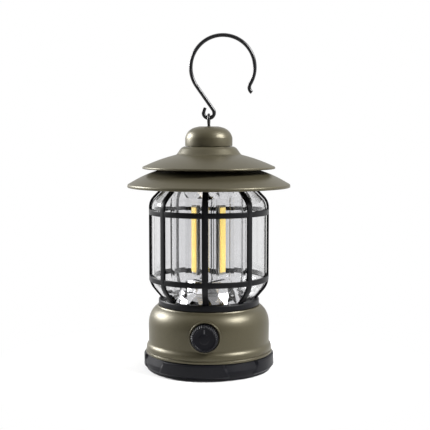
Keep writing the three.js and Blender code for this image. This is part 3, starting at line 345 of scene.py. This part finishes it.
def spun_about(bm, degrees):
    rotate(bm, math.radians(degrees), "Z")
    return bm


def soften(bm, edges, offset, segments=2):
    bmesh.ops.bevel(bm, geom=edges, offset=offset, affect="EDGES", segments=segments, profile=0.5,
                    material=-1)


def slab(size, centre, bevel, segments=2):
    bm = bmesh.new()
    bmesh.ops.create_cube(bm, size=1)
    bmesh.ops.scale(bm, vec=size, verts=bm.verts)
    soften(bm, bm.edges[:], bevel, segments)
    move(bm, centre)
    return bm


def wire(name, path, radius, closed=False):
    """A round wire along points in millimetres, as a bmesh. An open one has flat ends."""
    curve = bpy.data.curves.new(name, "CURVE")
    curve.dimensions = "3D"
    curve.bevel_depth = radius
    curve.bevel_resolution = 7
    curve.use_fill_caps = not closed
    line = curve.splines.new("POLY")
    line.points.add(len(path) - 1)
    for point, at in zip(line.points, path):
        point.co = (*at, 1)
    line.use_cyclic_u = closed
    shape = bpy.data.objects.new(name, curve)
    mesh = bpy.data.meshes.new_from_object(shape)
    bm = bmesh.new()
    bm.from_mesh(mesh)
    bpy.data.objects.remove(shape)
    bpy.data.curves.remove(curve)
    bpy.data.meshes.remove(mesh)
    bmesh.ops.remove_doubles(bm, verts=bm.verts, dist=MERGE)
    return bm


def carve(obj, tool_bm):
    """Cuts a closed bmesh, in millimetres, out of a finished piece."""
    bmesh.ops.recalc_face_normals(tool_bm, faces=tool_bm.faces)
    bmesh.ops.scale(tool_bm, vec=(MM, MM, MM), verts=tool_bm.verts)
    mesh = bpy.data.meshes.new("cutter")
    tool_bm.to_mesh(mesh)
    tool_bm.free()
    cutter = bpy.data.objects.new("cutter", mesh)
    bpy.context.scene.collection.objects.link(cutter)
    cut = obj.modifiers.new("cut", "BOOLEAN")
    cut.operation = "DIFFERENCE"
    cut.solver = "EXACT"
    cut.object = cutter
    bpy.context.view_layer.update()
    solid = bpy.data.meshes.new_from_object(obj.evaluated_get(bpy.context.evaluated_depsgraph_get()))
    obj.modifiers.clear()
    obj.data = solid
    bpy.data.objects.remove(cutter)
    bpy.data.meshes.remove(mesh)


def cylinder(radius, depth, sides):
    bm = bmesh.new()
    bmesh.ops.create_cone(bm, cap_ends=True, segments=sides, radius1=radius, radius2=radius, depth=depth)
    return bm


def forward_disc(radius, near, far, height):
    """A cylinder along Y between two distances in front of the axis."""
    bm = cylinder(radius, far - near, 96)
    rotate(bm, math.pi / 2, "X")
    move(bm, (0, -(near + far) / 2, height))
    return bm


# ---- Base ----------------------------------------------------------------------------------------------

BASE_LOW, BASE_HIGH = span("base_shell")
COVER_LOW, COVER_HIGH = span("battery_cover")
KNOB_LOW, KNOB_HIGH = span("control_knob")
FLANGE_R = BASE_HIGH.x
FLANGE_Z = COVER_HIGH.z + 0.3
BASE_R = FLANGE_R - 2.1
BASE_TOP = BASE_HIGH.z
BASE_WALL = 1.8
NECK_R = 38.0  # the top of the shoulder, round the cage's foot
DECK_BORE = 28.6
KNOB_Z = (KNOB_LOW.z + KNOB_HIGH.z) / 2
KNOB_R = (KNOB_HIGH.z - KNOB_LOW.z) / 2
WELL_R = KNOB_R + 0.7
WELL_BACK = BASE_R - 1.6
WELL_WALL = 0.9
SHAFT_BORE = 2.9
PAD_R, PAD_HEIGHT = 4.5, 1.3
GRIPS = 4
GRIP_AT = math.radians(33.5)  # azimuth of the first grip
GRIP_HALF = math.radians(16.5)
GRIP_BLEND = math.radians(0.9)
KNURLS = 36
KNURL_DEPTH = 0.42


def base_shell():
    outline = rounded([
        (FLANGE_R - 0.2, FLANGE_Z), (FLANGE_R, FLANGE_Z + 0.2), (FLANGE_R, FLANGE_Z + 1.5, 0.3),
        (FLANGE_R - 0.8, FLANGE_Z + 1.75, 0.2), (FLANGE_R - 0.8, FLANGE_Z + 2.2, 0.2),
        (FLANGE_R - 0.35, FLANGE_Z + 2.7, 0.3), (FLANGE_R - 0.6, FLANGE_Z + 5.6, 1.5),
        (BASE_R, FLANGE_Z + 7.7, 1.3), (BASE_R, BASE_TOP - 5.1, 9.5, 7.4),
        (NECK_R + 0.4, BASE_TOP - 0.7, 0.3), (NECK_R, BASE_TOP),
        (DECK_BORE, BASE_TOP), (DECK_BORE, BASE_TOP - BASE_WALL), (35.6, BASE_TOP - BASE_WALL, 1.0),
        (BASE_R - 1.9, BASE_TOP - 7.5, 5.5, 8),
        (BASE_R - BASE_WALL, FLANGE_Z + 8), (FLANGE_R - 5.5, FLANGE_Z + 4), (FLANGE_R - 5.5, BASE_LOW.z),
        (FLANGE_R - 3.9, BASE_LOW.z), (FLANGE_R - 3.9, FLANGE_Z),
    ])
    shell = piece("base_body", turned(outline, FINE_AROUND), OLIVE_PAINT, "lantern",
                  ["base_shell"])
    carve(shell, forward_disc(WELL_R + WELL_WALL, WELL_BACK - 6, FLANGE_R + 6, KNOB_Z))
    rim = turned(rounded([
        (SHAFT_BORE, 0.2), (WELL_R, 0.2, 0.4), (WELL_R, 2.6, 0.35), (WELL_R + WELL_WALL, 2.6, 0.45),
        (WELL_R + 1.05, -2.2), (SHAFT_BORE, -2.2),
    ], 4), 128)
    lay_forward(rim, WELL_BACK)
    piece("knob_well", rim, OLIVE_PAINT, "lantern", [])


def lay_forward(bm, distance):
    """Turns a piece made about Z to face forwards at the knob's height."""
    rotate(bm, math.pi / 2, "X")
    move(bm, (0, -distance, KNOB_Z))


def smooth_step(low, high, value):
    t = min(1.0, max(0.0, (value - low) / (high - low)))
    return t * t * (3 - 2 * t)


def battery_cover():
    """A round tray whose side is pressed in by four grips, each deepest at the top and bottom."""
    radius, low, high = COVER_HIGH.x, COVER_LOW.z, COVER_HIGH.z
    side = [(radius, low + 3.0 + k * (high - low - 4.4) / 12) for k in range(13)]
    outline = rounded([
        (0, low + 1.1), (radius - 4.9, low + 1.1, 0.3), (radius - 4.7, low, 0.3), (radius - 2, low, 0.4),
        (radius - 2, low + 1.2, 0.3), *side, (radius - 0.1, high - 0.5, 0.5), (FLANGE_R - 0.2, high - 0.05),
        (FLANGE_R - 1.2, high), (FLANGE_R - 1.5, low + 2.9), (0, low + 2.9),
    ], 3)
    bm = turned(outline, 360, closed=False)
    middle = low + 0.50 * (high - low)
    sector = TURN / GRIPS
    for vert in bm.verts:
        reach = math.hypot(vert.co.x, vert.co.y)
        if reach < radius - 2.6:
            continue
        azimuth = math.atan2(vert.co.x, -vert.co.y) - GRIP_AT
        away = abs((azimuth + sector / 2) % sector - sector / 2)
        arch = GRIP_HALF * (0.70 + 0.30 * smooth_step(low, high - 1.5, vert.co.z))
        inside = 1 - smooth_step(arch - GRIP_BLEND, arch + GRIP_BLEND, away)
        above = (vert.co.z - middle) / (high - middle)
        depth = 0.35 + (2.1 * above if above > 0 else -1.2 * above)
        target = min(reach, radius - depth)
        scale = (reach + (target - reach) * inside) / reach
        vert.co.x *= scale
        vert.co.y *= scale
    piece("battery_cover_body", bm, COVER_MOULDING, "cover", ["battery_cover"],
          sharp=math.radians(28))
    for i in range(4):
        node = f"foot_pad_{i + 1}"
        low, high = span(node)
        pad = turned(rounded([(0, 0), (PAD_R, 0, 0.5), (PAD_R, PAD_HEIGHT, 0.2), (0, PAD_HEIGHT)], 3), 48,
                     closed=False)
        move(pad, ((low.x + high.x) / 2, (low.y + high.y) / 2, 0))
        piece(f"foot_pad_disc_{i + 1}", pad, RUBBER, "cover", [node])


def control_knob():
    """A knob with a knurled side, whose face has a raised rim and a pointer."""
    back = WELL_BACK + 0.4
    length = -KNOB_LOW.y - back
    stops = [
        (KNOB_R - 2.2, 0), (KNOB_R - 0.3, 0, 0.3), (KNOB_R, 0.6, 0.3), (KNOB_R, length - 1.4, 0.3),
        (KNOB_R - 1.3, length, 0.35), (KNOB_R - 2.0, length, 0.2), (KNOB_R - 2.3, length - 0.5, 0.2),
        (3.6, length - 0.55, 0.2), (3.2, length - 0.25, 0.2), (0, length - 0.2),
        (0, length - 1.6), (KNOB_R - 2.2, length - 1.6),
    ]
    bm = turned(rounded(stops, 4), 288)
    for vert in bm.verts:
        reach = math.hypot(vert.co.x, vert.co.y)
        on_side = smooth_step(KNOB_R - 0.6, KNOB_R - 0.1, reach) * smooth_step(0.3, 0.9, vert.co.z)
        on_rim = (smooth_step(KNOB_R - 1.7, KNOB_R - 1.2, reach)
                  * smooth_step(length - 1.6, length - 1.3, vert.co.z))
        groove = 0.5 - 0.5 * math.cos(KNURLS * math.atan2(vert.co.y, vert.co.x))
        scale = 1 - KNURL_DEPTH * max(on_side, on_rim) * groove ** 1.5 / max(reach, 1)
        vert.co.x *= scale
        vert.co.y *= scale
    lay_forward(bm, back)
    piece("knob_body", bm, KNOB_MOULDING, "knob", ["control_knob"], sharp=math.radians(40))
    mark = slab((0.9, 0.35, 3.0), (0, KNOB_LOW.y + 0.62, KNOB_Z + 5.3), 0.12)
    piece("knob_pointer", mark, POINTER_PAINT, "knob", [])


# ---- Cage, shade and tube ------------------------------------------------------------------------------

CAGE_LOW, CAGE_HIGH = span("cage_front")
CAGE_R = CAGE_HIGH.x
CAGE_Z, CROWN_Z = CAGE_LOW.z, CAGE_HIGH.z
RIB_W, RIB_T = 4.2, 1.7
FOOT_R, CROWN_R = 37.3, 35.4
RIB_EDGE = [(FOOT_R - 2.4, CAGE_Z + 3.8), (CAGE_R, CAGE_Z + 15, 5.6), (CAGE_R, CROWN_Z - 14.8, 5.0),
            (CROWN_R - 2.6, CROWN_Z - 3.1)]
HOOP_BOTTOMS = (65.8, 114.8)
HOOP_H = 4.0
RIBS = 8
RING_BORE, LIP_BORE = 30.4, 27.9  # the foot and crown rings, and the lips in them that hold the reflectors
SHADE_GAP, SHADE_WALL, TUBE_WALL = 0.3, 1.6, 1.5


def rib():
    """The front rib: its outline in the plane x = 0, given a width and softened edges."""
    bm = bmesh.new()
    face = bm.faces.new([bm.verts.new((-RIB_W / 2, -p.x, p.y)) for p in wall(RIB_EDGE, RIB_T)])
    side = bmesh.ops.extrude_face_region(bm, geom=[face])
    move(bm, (RIB_W, 0, 0), new_verts(side))
    bmesh.ops.recalc_face_normals(bm, faces=bm.faces)
    soften(bm, [e for e in bm.edges if e.calc_face_angle(0) > math.radians(60)], 0.35)
    bmesh.ops.triangulate(bm, faces=[f for f in bm.faces if len(f.verts) > 4])
    return bm


def hoop(bottom):
    inner, outer = CAGE_R - RIB_T, CAGE_R - 0.1
    return turned(rounded([(inner, bottom, 0.3), (outer, bottom, 0.5), (outer, bottom + HOOP_H, 0.5),
                           (inner, bottom + HOOP_H, 0.3)], 3), AROUND)


def cage_rings():
    foot = turned(rounded([
        (RING_BORE, CAGE_Z), (FOOT_R, CAGE_Z, 0.4), (FOOT_R, CAGE_Z + 4.4, 0.9),
        (FOOT_R - 4.3, CAGE_Z + 4.7, 0.4), (FOOT_R - 4.3, CAGE_Z + 3.1), (LIP_BORE, CAGE_Z + 3.1),
        (LIP_BORE, CAGE_Z + 1.7), (RING_BORE, CAGE_Z + 1.7),
    ], 3))
    crown = turned(rounded([
        (31.6, CROWN_Z - 4.3), (CROWN_R, CROWN_Z - 3.0, 0.4), (CROWN_R, CROWN_Z), (RING_BORE, CROWN_Z),
        (RING_BORE, CROWN_Z - 1.7), (LIP_BORE, CROWN_Z - 1.7), (LIP_BORE, CROWN_Z - 3.1),
        (30.9, CROWN_Z - 3.1),
    ], 3))
    return foot, crown


def cage():
    """The whole cage, cut into a front and a back half with a hair's breadth between them."""
    ribs = [spun_about(rib(), i * 360 / RIBS) for i in range(RIBS)]
    whole = as_bmesh(*ribs, *map(hoop, HOOP_BOTTOMS), *cage_rings())
    bmesh.ops.recalc_face_normals(whole, faces=whole.faces)
    for name, side in (("cage_front", -1), ("cage_back", 1)):
        half = whole.copy()
        bmesh.ops.bisect_plane(half, geom=half.verts[:] + half.edges[:] + half.faces[:], dist=0.0001,
                               plane_co=(0, side * 0.15, 0), plane_no=(0, -side, 0), clear_outer=True)
        rims = [e for e in half.edges if e.is_boundary]
        bmesh.ops.holes_fill(half, edges=rims, sides=0)
        piece(f"{name}_moulding", half, BLACK_MOULDING, "lantern", [name],
              sharp=math.radians(38))
    whole.free()


def shade():
    low, high = span("shade")
    face = beside(rounded(RIB_EDGE, 10), RIB_T + SHADE_GAP)
    inner = beside(rounded(RIB_EDGE, 10), RIB_T + SHADE_GAP + SHADE_WALL)

    def clipped(points):
        """The part of a line between the shade's two ends."""
        kept = [p for p in points if low.z < p.y < high.z]
        first, last = points.index(kept[0]), points.index(kept[-1])
        return [meet(points[max(first - 1, 0)], kept[0], low.z), *kept,
                meet(points[min(last + 1, len(points) - 1)], kept[-1], high.z)]

    def meet(a, b, height):
        if abs(a.y - b.y) < 0.001:
            return Vector((b.x, height))
        return Vector((a.x + (b.x - a.x) * (height - a.y) / (b.y - a.y), height))

    piece("barrel_shade", turned(clipped(face) + clipped(inner)[::-1]), CLEAR_SHADE, "lantern",
          ["shade"], sharp=BARELY_SHARP)
    tube_low, tube_high = span("light_tube")
    outer = tube_high.x
    piece("inner_tube", turned([(outer - TUBE_WALL, tube_low.z), (outer, tube_low.z), (outer, tube_high.z),
                                (outer - TUBE_WALL, tube_high.z)], 128), CLEAR_TUBE, "lantern",
          ["light_tube"], sharp=BARELY_SHARP)


# ---- Light ---------------------------------------------------------------------------------------------


COLUMN_BORE = 4.5
REFLECTOR_FACETS = 16
REFLECTOR_FLANGE = 1.4  # thickness
REFLECTOR_BORE = 4.6
SKIRT_R = 25.3
BOARD_W, PHOSPHOR_W = 9.6, 6.3


def diamond_reflector(name, node, upside_down):
    """A mirrored cone of diamond facets on a flat flange, bridged ring by ring."""
    low, high = span(node)
    height = high.z - low.z
    top, underside = height - 0.2, height - 1.8
    bm = bmesh.new()

    def ring(radius, up, steps_round=0, segments=REFLECTOR_FACETS):
        """A ring of vertices, turned by a number of half facets."""
        made = bmesh.ops.create_circle(bm, cap_ends=False, radius=radius, segments=segments)["verts"]
        rotate(bm, steps_round * math.pi / REFLECTOR_FACETS, "Z", made)
        move(bm, (0, 0, up), made)
        return made

    facets = [(SKIRT_R, REFLECTOR_FLANGE), (SKIRT_R - 0.1, 1.9), (20.8, 0.52 * height), (16.6, top)]
    loops = [ring(reach, up, k) for k, (reach, up) in enumerate(facets)]
    hole = ring(REFLECTOR_BORE, top, 3)
    under = ring(SKIRT_R - 1.4, 0)
    roof = ring(14.6, underside)
    rim = ring(high.x, 0, segments=REFLECTOR_FACETS * 6)
    rim_top = ring(high.x, REFLECTOR_FLANGE, segments=REFLECTOR_FACETS * 6)
    hole_below = ring(REFLECTOR_BORE, underside)
    order = [rim_top, *loops, hole, hole_below, roof, under, rim, rim_top]
    for first, second in zip(order, order[1:]):
        edges = [e for v in first for e in v.link_edges if e.other_vert(v) in first]
        edges += [e for v in second for e in v.link_edges if e.other_vert(v) in second]
        bmesh.ops.bridge_loops(bm, edges=list(set(edges)))
    bmesh.ops.triangulate(bm, faces=bm.faces)
    if upside_down:
        rotate(bm, math.pi, "X")
    move(bm, (0, 0, high.z if upside_down else low.z))
    piece(name, bm, MIRROR, "lantern", [node], flat=True)


def light_column():
    """A three-sided mirrored post: each side dips towards a groove for its LED board."""
    low, high = span("light_column")
    face, corner, groove, half_board = 11.4, 21.0, 10.5, 5.1
    reach = math.sqrt(corner ** 2 - face ** 2)
    flutes = [(0, 0), (0.1, 0.3), (0.3, 0.6), (0.42, 1.1), (0.62, 1.05), (0.74, 1.4), (0.88, 1.2), (1, 1.0)]
    side = [(reach + (half_board - reach) * along, face - dip) for along, dip in flutes]
    side.append((half_board, groove))
    profile = side + [(-x, y) for x, y in reversed(side)]
    bm = bmesh.new()
    verts = []
    for azimuth in LED_AZIMUTHS:
        a = math.radians(azimuth - 90)
        out, across = Vector((math.cos(a), math.sin(a))), Vector((-math.sin(a), math.cos(a)))
        verts += [bm.verts.new((*(out * y - across * x), low.z)) for x, y in profile]
    made = bmesh.ops.extrude_face_region(bm, geom=[bm.faces.new(verts)])
    move(bm, (0, 0, high.z - low.z), new_verts(made))
    column = piece("mirror_column", bm, MIRROR, "lantern", ["light_column"],
                   sharp=math.radians(6))
    bore = cylinder(COLUMN_BORE, high.z - low.z + 2, 48)
    move(bore, (0, 0, (low.z + high.z) / 2))
    carve(column, bore)


def led_strips():
    """Each LED: a white board and a rounded bar of yellow phosphor."""
    low, high = span("led_board_2")
    middle, length = (low.z + high.z) / 2, high.z - low.z
    inner, face = low.y, high.y
    strip_low, strip_high = span("led_strip_2")
    depth = strip_high.y - strip_low.y
    for i, azimuth in enumerate(LED_AZIMUTHS):
        board = slab((BOARD_W, face - inner, length), (0, -(inner + face) / 2, middle), 0.15)
        piece(f"led_carrier_{i + 1}", spun_about(board, azimuth), LED_MASK, "lantern",
              [f"led_board_{i + 1}"])
        bar = slab((PHOSPHOR_W, depth, strip_high.z - strip_low.z), (0, -(strip_low.y + depth / 2), middle),
                   0.38, 4)
        # The phosphor bar carries a painted glow from its material's emission.
        piece(f"led_phosphor_painted_glow_{i + 1}", spun_about(bar, azimuth), PHOSPHOR_PAINTED_GLOW, "lantern",
              [f"led_strip_{i + 1}"])


# ---- Hat, eye and hook ---------------------------------------------------------------------------------

BRIM_HIGH = span("lower_brim")[1]
TOP_HIGH = span("upper_brim")[1]
DOME_LOW, DOME_HIGH = span("dome_cap")
EYE_LOW, EYE_HIGH = span("eye_bolt")
HUB_TOP = BRIM_HIGH.z
RIM_Z = HUB_TOP - 16.2
COLLAR_TOP = TOP_HIGH.z - 3.2
HAT_FLOOR = COLLAR_TOP - 7.2
HAT_WALL = 1.6
HAT_BORE = 5


def lower_brim():
    radius = BRIM_HIGH.x
    top = [(radius - 1.4, RIM_Z, 0.5), (radius, RIM_Z + 0.3, 0.5), (radius, RIM_Z + 2.3, 0.9),
           (radius - 13.8, RIM_Z + 10.1, 9), (25.6, HUB_TOP, 1.5), (HAT_BORE, HUB_TOP)]
    under = [(HAT_BORE, HUB_TOP - HAT_WALL), (25.4, HUB_TOP - HAT_WALL), (radius - 14.2, RIM_Z + 8.6, 9),
             (radius - 1.5, RIM_Z + 1.7, 0.6)]
    piece("lower_brim_shell", turned(rounded(top + under, 9), 224), OLIVE_PAINT, "lantern",
          ["lower_brim"])


def upper_brim():
    """The upper brim with the stepped collar that the dome cap fits over, and the spacer beneath it, whose
    black is painted shade for the gap between the brims.
    """
    radius, rim = TOP_HIGH.x, HAT_FLOOR - 9.2
    dome = DOME_HIGH.x
    outline = rounded([
        (radius - 1.2, rim, 0.4), (radius, rim + 0.2, 0.4), (radius, rim + 1.5, 0.6), (36, HAT_FLOOR - 2, 9),
        (23.8, HAT_FLOOR + 1.3, 0.8), (dome + 2.9, COLLAR_TOP - 1.0, 1.3), (dome + 0.9, COLLAR_TOP, 0.35),
        (dome - 1.9, COLLAR_TOP), (dome - 1.9, TOP_HIGH.z), (dome - 3.3, TOP_HIGH.z),
        (dome - 3.3, COLLAR_TOP - 1.8), (dome - 0.6, COLLAR_TOP - 1.8), (21.6, HAT_FLOOR + HAT_WALL),
        (HAT_BORE, HAT_FLOOR + HAT_WALL), (HAT_BORE, HAT_FLOOR), (26, HAT_FLOOR), (35.6, HAT_FLOOR - 3.5, 8),
        (radius - 1.5, rim + 1.2, 0.5),
    ], 8)
    piece("upper_brim_shell", turned(outline, FINE_AROUND), OLIVE_PAINT, "lantern",
          ["upper_brim"])
    low, high = span("brim_spacer")
    bore, hub, web = 7, 14.6, high.z - 1.8
    channel = [(bore, low.z), (hub, low.z), (hub, web), (high.x - 2, web), (high.x - 2, low.z),
               (high.x, low.z, 0.3), (high.x, high.z, 0.4), (bore, high.z)]
    # The spacer holds the brims apart; its black moulding stands in for the shade between the brims, so it is
    # partly painted shade.
    piece("brim_spacer_ring", turned(rounded(channel, 3), 128), BLACK_MOULDING, "lantern",
          ["brim_spacer"])


def dome_cap():
    radius, low, high = DOME_HIGH.x, DOME_LOW.z, DOME_HIGH.z
    outline = rounded([
        (radius - 0.5, low), (radius, low + 0.1, 0.1), (radius, high - 8.4), (radius - 1.8, high - 2.0, 6.2),
        (radius - 10.4, high), (3.0, high, 0.4), (1.7, high - 0.4, 0.2), (1.7, high - 1.5),
        (radius - 10.5, high - 1.6), (radius - 3.2, high - 3.2, 5.2), (radius - 1.5, high - 8.6),
        (radius - 1.5, low),
    ], 10)
    piece("dome_cap_shell", turned(outline), OLIVE_PAINT, "lantern", ["dome_cap"])


def arc(centre, radius, start, end, steps):
    """Points on a circle in the plane y = 0, by degrees from +X towards +Z."""
    angles = [math.radians(start + (end - start) * k / steps) for k in range(steps + 1)]
    return [Vector((centre[0] + radius * math.cos(a), 0, centre[1] + radius * math.sin(a))) for a in angles]


EYE_WIRE, HOOK_WIRE = 1.0, 1.4  # radii
LOOP_R, CROOK_R, CURL_R = 3.9, 23.4, 4.6
CROOK_ACROSS, CROOK_UP = 10.2, 36.8


def hook():
    """A small open loop through the eye, the big crook, and a curl back at its tip."""
    pivot = span("hook")[0].z + HOOK_WIRE
    loop, crook = (0, pivot + LOOP_R), (CROOK_ACROSS, pivot + CROOK_UP)
    rise = crook[1] - loop[1]
    lean = math.degrees(math.atan2(rise, crook[0]))
    touch = lean - math.degrees(math.acos((LOOP_R + CROOK_R) / math.hypot(crook[0], rise)))
    open_end, crook_end = -200, -31
    curl_at = (crook[0] + (CROOK_R + CURL_R) * math.cos(math.radians(crook_end)),
               crook[1] + (CROOK_R + CURL_R) * math.sin(math.radians(crook_end)))
    small = arc(loop, LOOP_R, open_end, touch, 40)
    onward = (small[0] - small[1]).normalized()
    path = [small[0] + onward * 2.6, *small, *arc(crook, CROOK_R, touch + 180, crook_end, 90),
            *arc(curl_at, CURL_R, crook_end + 180, crook_end + 266, 16)]
    bm = wire("hook_line", path, HOOK_WIRE)
    piece("hook_wire", bm, COATED_WIRE, "hook", ["hook"], sharp=BARELY_SHARP)


def eye_bolt():
    ring_r = EYE_HIGH.y - EYE_WIRE
    centre = EYE_HIGH.z - ring_r - EYE_WIRE
    path = [Vector((0, ring_r * math.cos(k * TURN / 64), centre + ring_r * math.sin(k * TURN / 64)))
            for k in range(64)]
    ring = wire("eye_line", path, EYE_WIRE, closed=True)
    collar = turned(rounded([(0, EYE_LOW.z), (1.2, EYE_LOW.z, 0.2), (1.2, centre - ring_r - 0.6, 0.5),
                             (0.9, centre - ring_r + 0.4), (0, centre - ring_r + 0.4)], 4), 40, closed=False)
    piece("eye_bolt_wire", as_bmesh(ring, collar), COATED_WIRE, "eye", ["eye_bolt"],
          sharp=BARELY_SHARP)


# ---- Frame nodes that stay, with their finishes --------------------------------------------------------


def dress_nodes():
    """Gives their finish to the nodes that no piece replaces."""
    steel = ["dimmer", "dimmer_nut", "dimmer_shaft", "eye_washer", "eye_nut", "contact_positive",
             "contact_bridge_1", "contact_bridge_2", "contact_negative"]
    steel += [f"battery_spring_{i}" for i in (1, 2, 3)] + [f"tray_screw_{i}" for i in (1, 2)]
    steel += [f"cage_screw_{i}" for i in (1, 2, 3, 4)] + [f"crown_screw_{i}" for i in (1, 2, 3, 4)]
    steel += [f"hat_screw_{i}" for i in (1, 2, 3)]
    finishes = {PLATED_STEEL: steel, GREEN_MASK: ["driver_board"], BLACK_MOULDING: ["battery_tray"],
                CELL_SLEEVE: [f"battery_cell_{i}" for i in (1, 2, 3)], RUBBER: ["cover_gasket"],
                RED_LEAD: ["power_lead_positive"], BLACK_LEAD: ["power_lead_negative"],
                WHITE_LEAD: ["led_lead"]}
    for material, names in finishes.items():
        for name in names:
            for place in bpy.data.objects[name].material_slots:
                place.material = material


# ---- Stage, light and camera ---------------------------------------------------------------------------


FRONT_LEVEL = 0.06  # how bright reflections of the studio's open front are
DIFFUSE_LEVEL = 0.22  # how bright the studio is to matt surfaces
SHADOW_FADE = (0.06, 0.17)  # where the floor turns from matt to plain white, in metres from the axis


def white_stage():
    """A pale floor that keeps the shadow near the lantern and fades into the white background."""
    bm = bmesh.new()
    bmesh.ops.create_grid(bm, x_segments=1, y_segments=1, size=6)
    mesh = bpy.data.meshes.new("floor")
    bm.to_mesh(mesh)
    bm.free()
    floor = bpy.data.objects.new("floor", mesh)
    bpy.context.scene.collection.objects.link(floor)
    material = bpy.data.materials.new("pale_floor")
    material.use_nodes = True
    tree = material.node_tree
    tree.nodes.clear()
    place = add(tree, "ShaderNodeTexCoord").outputs["Object"]
    away = add(tree, "ShaderNodeVectorMath", [(0, place)], operation="LENGTH")
    fade = eased(tree, away.outputs["Value"], *SHADOW_FADE)
    path = add(tree, "ShaderNodeLightPath").outputs
    seen = calc(tree, "MAXIMUM", path["Is Camera Ray"], path["Is Glossy Ray"])
    seen = calc(tree, "MAXIMUM", seen, path["Is Transmission Ray"])
    matt = add(tree, "ShaderNodeBsdfDiffuse", [("Color", (0.9, 0.9, 0.9, 1))])
    parts = add(tree, "ShaderNodeSeparateXYZ", [("Vector", place)])
    depth = eased(tree, parts.outputs["Y"], -0.9, 0.3, FRONT_LEVEL, 1.0)
    glow = add(tree, "ShaderNodeEmission", [("Strength", chosen(tree, path["Is Camera Ray"], depth, 1.0))])
    mixed = add(tree, "ShaderNodeMixShader", [(0, calc(tree, "MULTIPLY", fade, seen)), (1, matt.outputs[0]),
                                              (2, glow.outputs[0])])
    out = add(tree, "ShaderNodeOutputMaterial")
    tree.links.new(mixed.outputs[0], out.inputs["Surface"])
    mesh.materials.append(material)


def white_world():
    """White behind the lantern; dimmer in front, as an open studio is. Diffuse light from it stays low."""
    world = bpy.data.worlds.new("studio")
    bpy.context.scene.world = world
    world.use_nodes = True
    tree = world.node_tree
    back = tree.nodes["Background"]
    back.inputs["Color"].default_value = (1, 1, 1, 1)
    direction = add(tree, "ShaderNodeTexCoord").outputs["Generated"]
    parts = add(tree, "ShaderNodeSeparateXYZ", [("Vector", direction)]).outputs
    studio = eased(tree, parts["Y"], -0.85, -0.10, FRONT_LEVEL, 1.0)
    behind = eased(tree, parts["Y"], 0.72, 0.95, 0.0, 0.35)
    low = eased(tree, parts["Z"], 0.12, 0.40, 1.0, 0.0)
    mirrored = calc(tree, "SUBTRACT", studio, calc(tree, "MULTIPLY", behind, low))
    path = add(tree, "ShaderNodeLightPath").outputs
    level = chosen(tree, path["Is Glossy Ray"], DIFFUSE_LEVEL, mirrored)
    level = chosen(tree, path["Is Transmission Ray"], level, studio)
    level = chosen(tree, path["Is Camera Ray"], level, 1.0)
    tree.links.new(level, back.inputs["Strength"])


def softbox(name, place, target_height, size, power, mirrored=True):
    """A lamp aimed at a height on the lantern's axis."""
    light = bpy.data.lights.new(name, "AREA")
    light.shape = "RECTANGLE"
    light.size, light.size_y = size
    light.energy = power
    lamp = bpy.data.objects.new(name, light)
    lamp.location = place
    lamp.visible_glossy = mirrored
    lamp.visible_camera = False
    lamp.rotation_euler = (Vector((0, 0, target_height)) - Vector(place)).to_track_quat("-Z", "Y").to_euler()
    bpy.context.scene.collection.objects.link(lamp)


def camera():
    """Level with the dome cap, a little to the right, 0.7 m from the lantern's axis."""
    azimuth, distance, height = math.radians(3.7), 0.7055, 0.1750
    swing, dip = math.radians(0.37), math.radians(4.95)  # turned left and down, in place
    data = bpy.data.cameras.new("view")
    data.sensor_width = 36
    data.lens = 80.1
    cam = bpy.data.objects.new("view", data)
    cam.location = (distance * math.sin(azimuth), -distance * math.cos(azimuth), height)
    cam.rotation_euler = (math.pi / 2 - dip, 0, azimuth - swing)
    bpy.context.scene.collection.objects.link(cam)
    bpy.context.scene.camera = cam


base_shell()
battery_cover()
control_knob()
cage()
shade()
diamond_reflector("lower_reflector", "bottom_reflector", False)
diamond_reflector("upper_reflector", "top_reflector", True)
light_column()
led_strips()
lower_brim()
upper_brim()
dome_cap()
eye_bolt()
hook()
dress_nodes()
white_stage()
white_world()
softbox("left_bank", (-0.92, 0.34, 0.50), 0.06, (0.56, 0.42), 22.0)
softbox("right_bank", (0.76, -0.26, 0.74), 0.06, (0.44, 0.32), 18.0)
softbox("front_fill", (-0.30, -1.30, 0.75), 0.10, (0.9, 0.6), 2.0, mirrored=False)
camera()

bpy.context.scene.view_settings.view_transform = "Standard"
